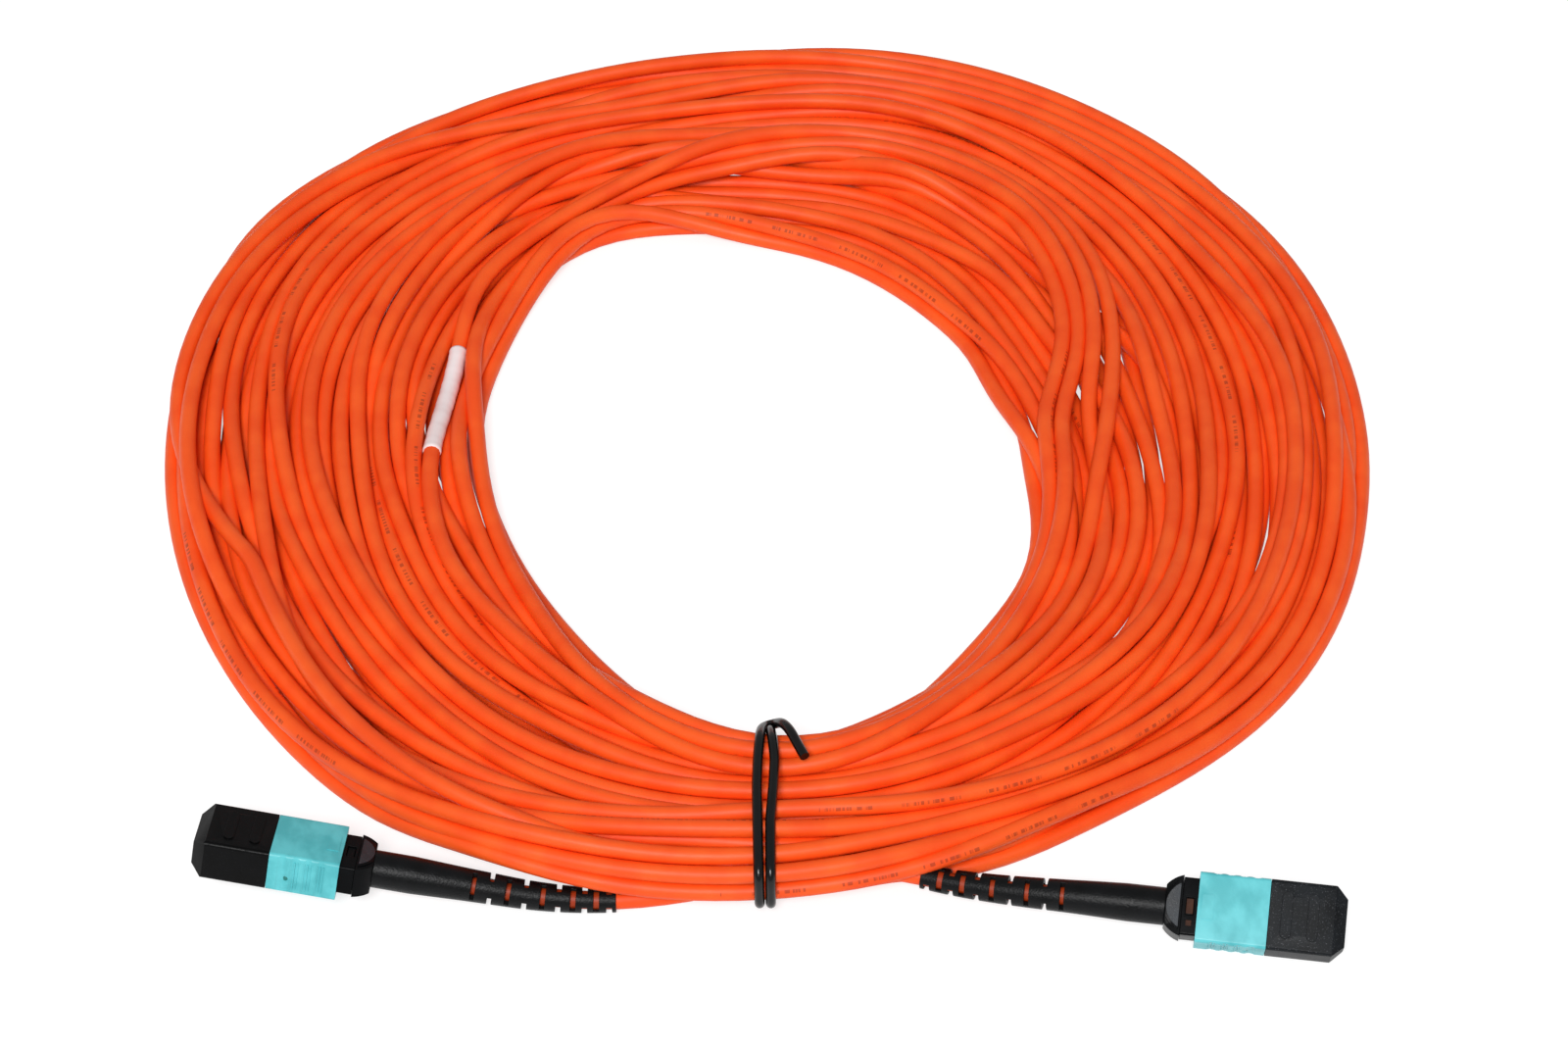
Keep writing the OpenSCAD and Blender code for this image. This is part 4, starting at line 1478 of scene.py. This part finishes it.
    def _separate(self, shape: tuple[int, int], both: np.ndarray, apart: np.ndarray) -> None:
        """Pushes turns apart that lie closer than their radii allow.

        Args:
            shape: The numbers of turns and of stations in a turn.
            both: Where a pair of turns is there at a station.
            apart: The distance that each pair needs.
        """
        r, z = self.r.reshape(shape), self.z.reshape(shape)
        aside, above = r[:, None] - r[None], z[:, None] - z[None]
        gap = np.sqrt(np.maximum(aside**2 + above**2, 1e-12))
        push = np.where(both & (gap < apart), (apart - gap) / gap, 0) * self.settling.push
        self.r += (push * aside).sum(1).ravel()
        self.z += (push * above).sum(1).ravel()

    def _close_gaps(self, shape: tuple[int, int]) -> None:
        """Draws turns together where the floor would show between them from the front.

        Args:
            shape: The numbers of turns and of stations in a turn.
        """
        tilt = np.sin(np.radians(self.angles[: self.stations]))
        stretch = np.sqrt(1 + tilt**2)
        seen = (self.r.reshape(shape) + self.z.reshape(shape) * tilt) / stretch
        seen = np.where(self.active.reshape(shape), seen, np.nan)
        order = np.argsort(seen, axis=0)
        ranked = np.take_along_axis(seen, order, axis=0)
        excess = np.nan_to_num(np.maximum(0, np.diff(ranked, axis=0) - self.widest_gap))
        pull = np.zeros(shape)
        pull[:-1] += excess
        pull[1:] -= excess
        moved = np.zeros(shape)
        np.put_along_axis(moved, order, self.closing * pull * stretch, axis=0)
        self.r += moved.ravel()

    def _tighten(self, shape: tuple[int, int]) -> None:
        """Keeps the bundle inside the tie's wire.

        Args:
            shape: The numbers of turns and of stations in a turn.
        """
        squareness, middle, half_tall = self.section
        r, z = self.r.reshape(shape), self.z.reshape(shape)
        held = self.fixed.reshape(shape)
        columns = np.abs(self.angles[: self.stations] - self.tie_at) < self.tie_half
        for c in np.flatnonzero(columns):
            centre = (self.outside[c] + self.inside[c]) / 2
            half_wide = (self.outside[c] - self.inside[c]) / 2 + self.section_slack
            across, over = (r[:, c] - centre) / half_wide, (z[:, c] - middle) / half_tall
            out = (np.abs(across) ** squareness + np.abs(over) ** squareness) ** (1 / squareness)
            stray = (out > 1) & ~held[:, c]
            r[stray, c] = centre + (r[stray, c] - centre) / out[stray]
            z[stray, c] = middle + (z[stray, c] - middle) / out[stray]

    def _gather(self, tails: tuple[np.ndarray, np.ndarray]) -> None:
        """Joins the settled turns and the two tails into one line.

        Args:
            tails: The points of the two tails.
        """
        turn = np.radians(self.angles)
        x = self.centre[0] + self.r * np.cos(turn)
        y = self.centre[1] + self.r * np.sin(turn)
        points = np.stack([x, y, self.z], axis=1)
        free = points[self.laid]
        self.line = eased_line(np.vstack([tails[0], free, tails[1]]), self.spacing)
        near = np.abs((self.angles - self.tie_at + 180) % 360 - 180) < 180 / self.stations
        self.at_tie = points[near & self.active]
        on_label = np.abs(self.angles - self.label_centre) < self.label_half + 8
        self.label_stretch = points[on_label]

    def length(self) -> float:
        """Gives the cord's length, in metres."""
        return float(np.linalg.norm(np.diff(self.line, axis=0), axis=1).sum())

    def build(self) -> bpy.types.Object:
        """Builds the whole cord as one tube.

        Returns:
            The piece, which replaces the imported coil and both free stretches.
        """
        mesh = tube_mesh("cord", self.line, self.diameter / 2, 12)
        piece = linked("cord", mesh, Jacket(self.length()))
        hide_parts("cable_tail_a", "cable_coil", "cable_tail_b")
        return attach(piece, "cord_set")


# -------------------------------------------------------------- tie, label and stage


@dataclass
class Tie:
    """The coated wire that is bent twice round the bundle."""

    bundle: np.ndarray
    cord_radius: float = 1.6 * MM
    wire: float = 1.8 * MM
    # The free end in mm: across, towards the back, and the lift over the bundle.
    hook: tuple[tuple[float, float, float], ...] = (
        (6.9, 22.3, 1.0),
        (5.7, 25.0, 1.1),
        (4.5, 28.0, 1.4),
        (3.1, 31.2, 1.7),
        (1.7, 33.3, 1.7),
        (0.5, 33.6, 1.3),
        (-0.4, 32.2, 0.6),
        (-0.8, 29.9, 0.1),
    )
    start: float = 27.9 * MM
    # Each wrap's shares of the way round and its places across there, in mm.
    stops: tuple[float, ...] = (0, 0.05, 0.12, 0.2, 0.38, 0.7, 1)
    wraps: tuple[tuple[float, ...], ...] = (
        (-0.95, -1.25, -1.4, -1.25, -0.85, -1.1, 1.3),
        (1.3, 1.7, 1.45, 0.95, 1.05, 1.05, 1.05),
    )
    last_share: float = 0.66

    def outline(self, count: int = 64) -> np.ndarray:
        """Gives the tight line round the bundle, in Y and Z.

        Args:
            count: The number of points.

        Returns:
            The points, from the back over the top to the front and back below.
        """
        away = self.cord_radius + self.wire / 2
        turns = np.radians(np.arange(0, 360, 3))
        ways = np.stack([np.cos(turns), np.sin(turns)], axis=1)
        hull = (self.bundle[:, None, 1:] + away * ways[None]).reshape(-1, 2)
        middle = (hull.min(0) + hull.max(0)) / 2
        looks = np.radians(np.arange(0, 360, 2))
        sights = np.stack([np.cos(looks), np.sin(looks)], axis=1)
        reach = ((hull - middle) @ sights.T).max(0)
        slope = (np.roll(reach, -1) - np.roll(reach, 1)) / (2 * math.radians(2))
        across = np.stack([-sights[:, 1], sights[:, 0]], axis=1)
        tight = middle + reach[:, None] * sights + slope[:, None] * across
        tight[:, 1] = np.maximum(tight[:, 1], self.wire / 2)
        loop = np.vstack([tight, tight[:1]])
        return resampled(loop, np.linspace(0, travelled(loop)[-1], count + 1)[:-1])

    def path(self) -> np.ndarray:
        """Runs the wire from its free end twice round the bundle to its tucked end.

        Returns:
            The wire's line.
        """
        loop = self.outline()
        over = loop[loop[:, 1] > loop[:, 1].mean()]
        over = over[np.argsort(over[:, 0])]
        points = []
        for x, y, lift in self.hook:
            rest = np.interp(y * MM, over[:, 0], over[:, 1])
            points.append((x * MM, y * MM, rest + lift * MM))
        start = int(np.argmin(np.hypot(loop[:, 0] - self.start, loop[:, 1] - over[:, 1].max())))
        ordered = np.roll(loop, -start, axis=0)
        if ordered[4, 0] > ordered[0, 0]:
            ordered = np.roll(ordered[::-1], 1, axis=0)
        for sides, end in zip(self.wraps, (1, self.last_share)):
            for i, (y, z) in enumerate(ordered):
                share = i / len(ordered)
                if share > end:
                    break
                points.append((np.interp(share, self.stops, sides) * MM, y, z))
        line = eased_line(np.array(points), 0.5 * MM)
        for _ in range(4):
            line[1:-1] = (line[:-2] + 2 * line[1:-1] + line[2:]) / 4
        return line

    def build(self) -> bpy.types.Object:
        """Builds the wire.

        Returns:
            The piece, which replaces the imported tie.
        """
        curve = bpy.data.curves.new("tie_line", "CURVE")
        curve.dimensions = "3D"
        curve.bevel_depth = self.wire / 2
        curve.bevel_resolution = 5
        curve.use_fill_caps = True
        spline = curve.splines.new("POLY")
        points = self.path()
        spline.points.add(len(points) - 1)
        spline.points.foreach_set("co", np.column_stack([points, np.ones(len(points))]).ravel())
        holder = bpy.data.objects.new("tie_line", curve)
        mesh = bpy.data.meshes.new_from_object(holder)
        bpy.data.objects.remove(holder)
        mesh.shade_smooth()
        mesh.set_sharp_from_angle(angle=math.radians(50))
        mesh.name = "tie"
        piece = linked("tie", mesh, WIRE_BLACK)
        soften(piece, 0.2 * MM, 50)
        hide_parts("wire_tie")
        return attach(piece, "cord_set")


@dataclass
class Label:
    """The white sleeve shrunk on one turn of the coil."""

    stretch: np.ndarray
    cord_radius: float = 1.6 * MM
    wall: float = 0.12 * MM
    length: float = 31 * MM

    def build(self) -> bpy.types.Object:
        """Builds the sleeve.

        Returns:
            The piece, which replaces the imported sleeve.
        """
        line = eased_line(self.stretch, 0.5 * MM)
        count = round(self.length / (0.5 * MM))
        start = (len(line) - count) // 2
        line = line[start : start + count]
        share = np.linspace(0, 1, count)
        ends = np.minimum(share, 1 - share) * self.length
        flare = 0.12 * MM * (1 - smooth_step(ends / (1.2 * MM)))
        waves = 0.03 * MM * np.sin(share * 41) + 0.02 * MM * np.sin(share * 97 + 1)
        lip = -0.16 * MM * (1 - smooth_step(ends / (0.3 * MM)))
        radius = self.cord_radius + self.wall + flare + waves + lip
        piece = linked("label", tube_mesh("label", line, radius, 28, "sleeve"), SLEEVE)
        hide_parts("label_sleeve")
        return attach(piece, "cord_set")


@dataclass
class Stage:
    """The floor, the lamps, the world and the camera."""

    target: tuple[float, float, float] = (0.0033, 0.0957, 0.0)
    distance: float = 0.743
    elevation: float = 45.0
    lens: float = 90.0
    key_place: tuple[float, float, float] = (-0.2, -1.35, 1.65)
    key_size: float = 0.6
    key_power: float = 34.0
    ambient: float = 0.38
    floor_seen: str = "#b4b4b4"
    floor_plain: str = "#e9e9e9"
    floor_glow: float = 0.68

    def camera(self) -> bpy.types.Object:
        """Places the camera.

        Returns:
            The camera, which is also the scene's.
        """
        data = bpy.data.cameras.new("camera")
        data.lens = self.lens
        data.sensor_width = 36
        data.clip_start = 0.01
        data.clip_end = 20
        eye = bpy.data.objects.new("camera", data)
        rise = math.radians(self.elevation)
        back = Vector((0, -math.cos(rise), math.sin(rise)))
        eye.location = Vector(self.target) + back * self.distance
        eye.rotation_euler = (-back).to_track_quat("-Z", "Y").to_euler()
        bpy.context.scene.collection.objects.link(eye)
        bpy.context.scene.camera = eye
        return eye

    def lamp(
        self, name: str, place: tuple[float, float, float], size: float, power: float
    ) -> bpy.types.Object:
        """Adds a soft lamp that looks at the coil.

        Args:
            name: The lamp's name.
            place: Where it hangs, in metres.
            size: The side of its square panel.
            power: Its power in watts.

        Returns:
            The lamp.
        """
        data = bpy.data.lights.new(name, "AREA")
        data.size = size
        data.energy = power
        lamp = bpy.data.objects.new(name, data)
        lamp.location = place
        aim = Vector(self.target) - Vector(place)
        lamp.rotation_euler = aim.to_track_quat("-Z", "Y").to_euler()
        bpy.context.scene.collection.objects.link(lamp)
        return lamp

    def floor(self) -> bpy.types.Object:
        """Lays the pale floor, which keeps the object's shadow.

        Returns:
            The floor.
        """
        bm = bmesh.new()
        bmesh.ops.create_grid(bm, x_segments=1, y_segments=1, size=3)
        shader = Shader("floor")
        path = "ShaderNodeLightPath"
        seen = shader.node(path, output="Is Camera Ray")
        gloss = shader.node(path, output="Is Glossy Ray")
        clear = shader.node(path, output="Is Transmission Ray")
        direct = shader.math("MINIMUM", seen + gloss + clear, 1.0)
        plain = shader.node("ShaderNodeBsdfDiffuse", inputs={"Color": paint(self.floor_plain)})
        dim = shader.node("ShaderNodeBsdfDiffuse", inputs={"Color": paint(self.floor_seen)})
        inputs = {"Color": (1, 1, 1, 1), "Strength": self.floor_glow}
        glow = shader.node("ShaderNodeEmission", inputs=inputs)
        lit = shader.node("ShaderNodeAddShader", inputs={0: dim, 1: glow})
        both = shader.node("ShaderNodeMixShader", inputs={0: direct, 1: plain, 2: lit})
        shader.node("ShaderNodeOutputMaterial", inputs={"Surface": both})
        mesh = bpy.data.meshes.new("floor")
        bm.to_mesh(mesh)
        bm.free()
        mesh.materials.append(shader.material)
        floor = bpy.data.objects.new("floor", mesh)
        bpy.context.scene.collection.objects.link(floor)
        return floor

    def world(self) -> None:
        """Sets a white world to the camera and a plain grey one to the object."""
        world = bpy.data.worlds.new("studio")
        bpy.context.scene.world = world
        world.use_nodes = True
        tree = world.node_tree
        tree.nodes.clear()
        path = tree.nodes.new("ShaderNodeLightPath")
        light, white = (tree.nodes.new("ShaderNodeBackground") for _ in range(2))
        light.inputs["Color"].default_value = (1, 1, 1, 1)
        light.inputs["Strength"].default_value = self.ambient
        white.inputs["Strength"].default_value = 1
        white.inputs["Color"].default_value = (1, 1, 1, 1)
        mixed = tree.nodes.new("ShaderNodeMixShader")
        out = tree.nodes.new("ShaderNodeOutputWorld")
        tree.links.new(path.outputs["Is Camera Ray"], mixed.inputs[0])
        tree.links.new(light.outputs[0], mixed.inputs[1])
        tree.links.new(white.outputs[0], mixed.inputs[2])
        tree.links.new(mixed.outputs[0], out.inputs["Surface"])

    def light(self) -> None:
        """Hangs one soft lamp behind the camera."""
        self.lamp("key", self.key_place, self.key_size, self.key_power)


PLUG_A = PlugPlace(
    End.A,
    nose=(-0.0844, 0.00597),
    heading=174.7,
    roll=15,
    boot_turn=6.6,
    boot_end_height=2.2 * MM,
    slot_roll=45,
    rise=8.9,
    straight=24 * MM,
)
PLUG_B = PlugPlace(
    End.B,
    nose=(0.0856, -0.0054),
    heading=-8,
    roll=30,
    boot_turn=-8.5,
    boot_end_height=4.2 * MM,
    slot_roll=-45,
    rise=0,
    straight=10 * MM,
)


def main() -> None:
    """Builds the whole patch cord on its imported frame."""
    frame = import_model()
    bpy.context.scene.view_settings.view_transform = "Standard"
    stage = Stage()
    stage.camera()
    winding = Winding(PLUG_A, PLUG_B, Boot(PLUG_A).radius)
    winding.settle()
    cord = winding.build()
    LOG.info("cord: %.2f m in %d turns", winding.length(), winding.turns)
    plugs = []
    for place in (PLUG_A, PLUG_B):
        plugs.append(Plug(place, frame).build())
        LOG.info("plug %s: %d pieces", place.end.value, len(plugs[-1]))
    Tie(winding.at_tie).build()
    Label(winding.label_stretch).build()
    boot_a = plugs[0][-1]
    on_cord = [boot_a, *plugs[1]]
    hidden = ("ferrule", "pin_clamp", "crimp_ring")
    on_cord += [frame["nodes"][f"{part}_b"] for part in hidden]
    winding.length()
    stage.floor()
    stage.world()
    stage.light()


if __name__ == "__main__":
    logging.basicConfig(level=logging.INFO)
    main()
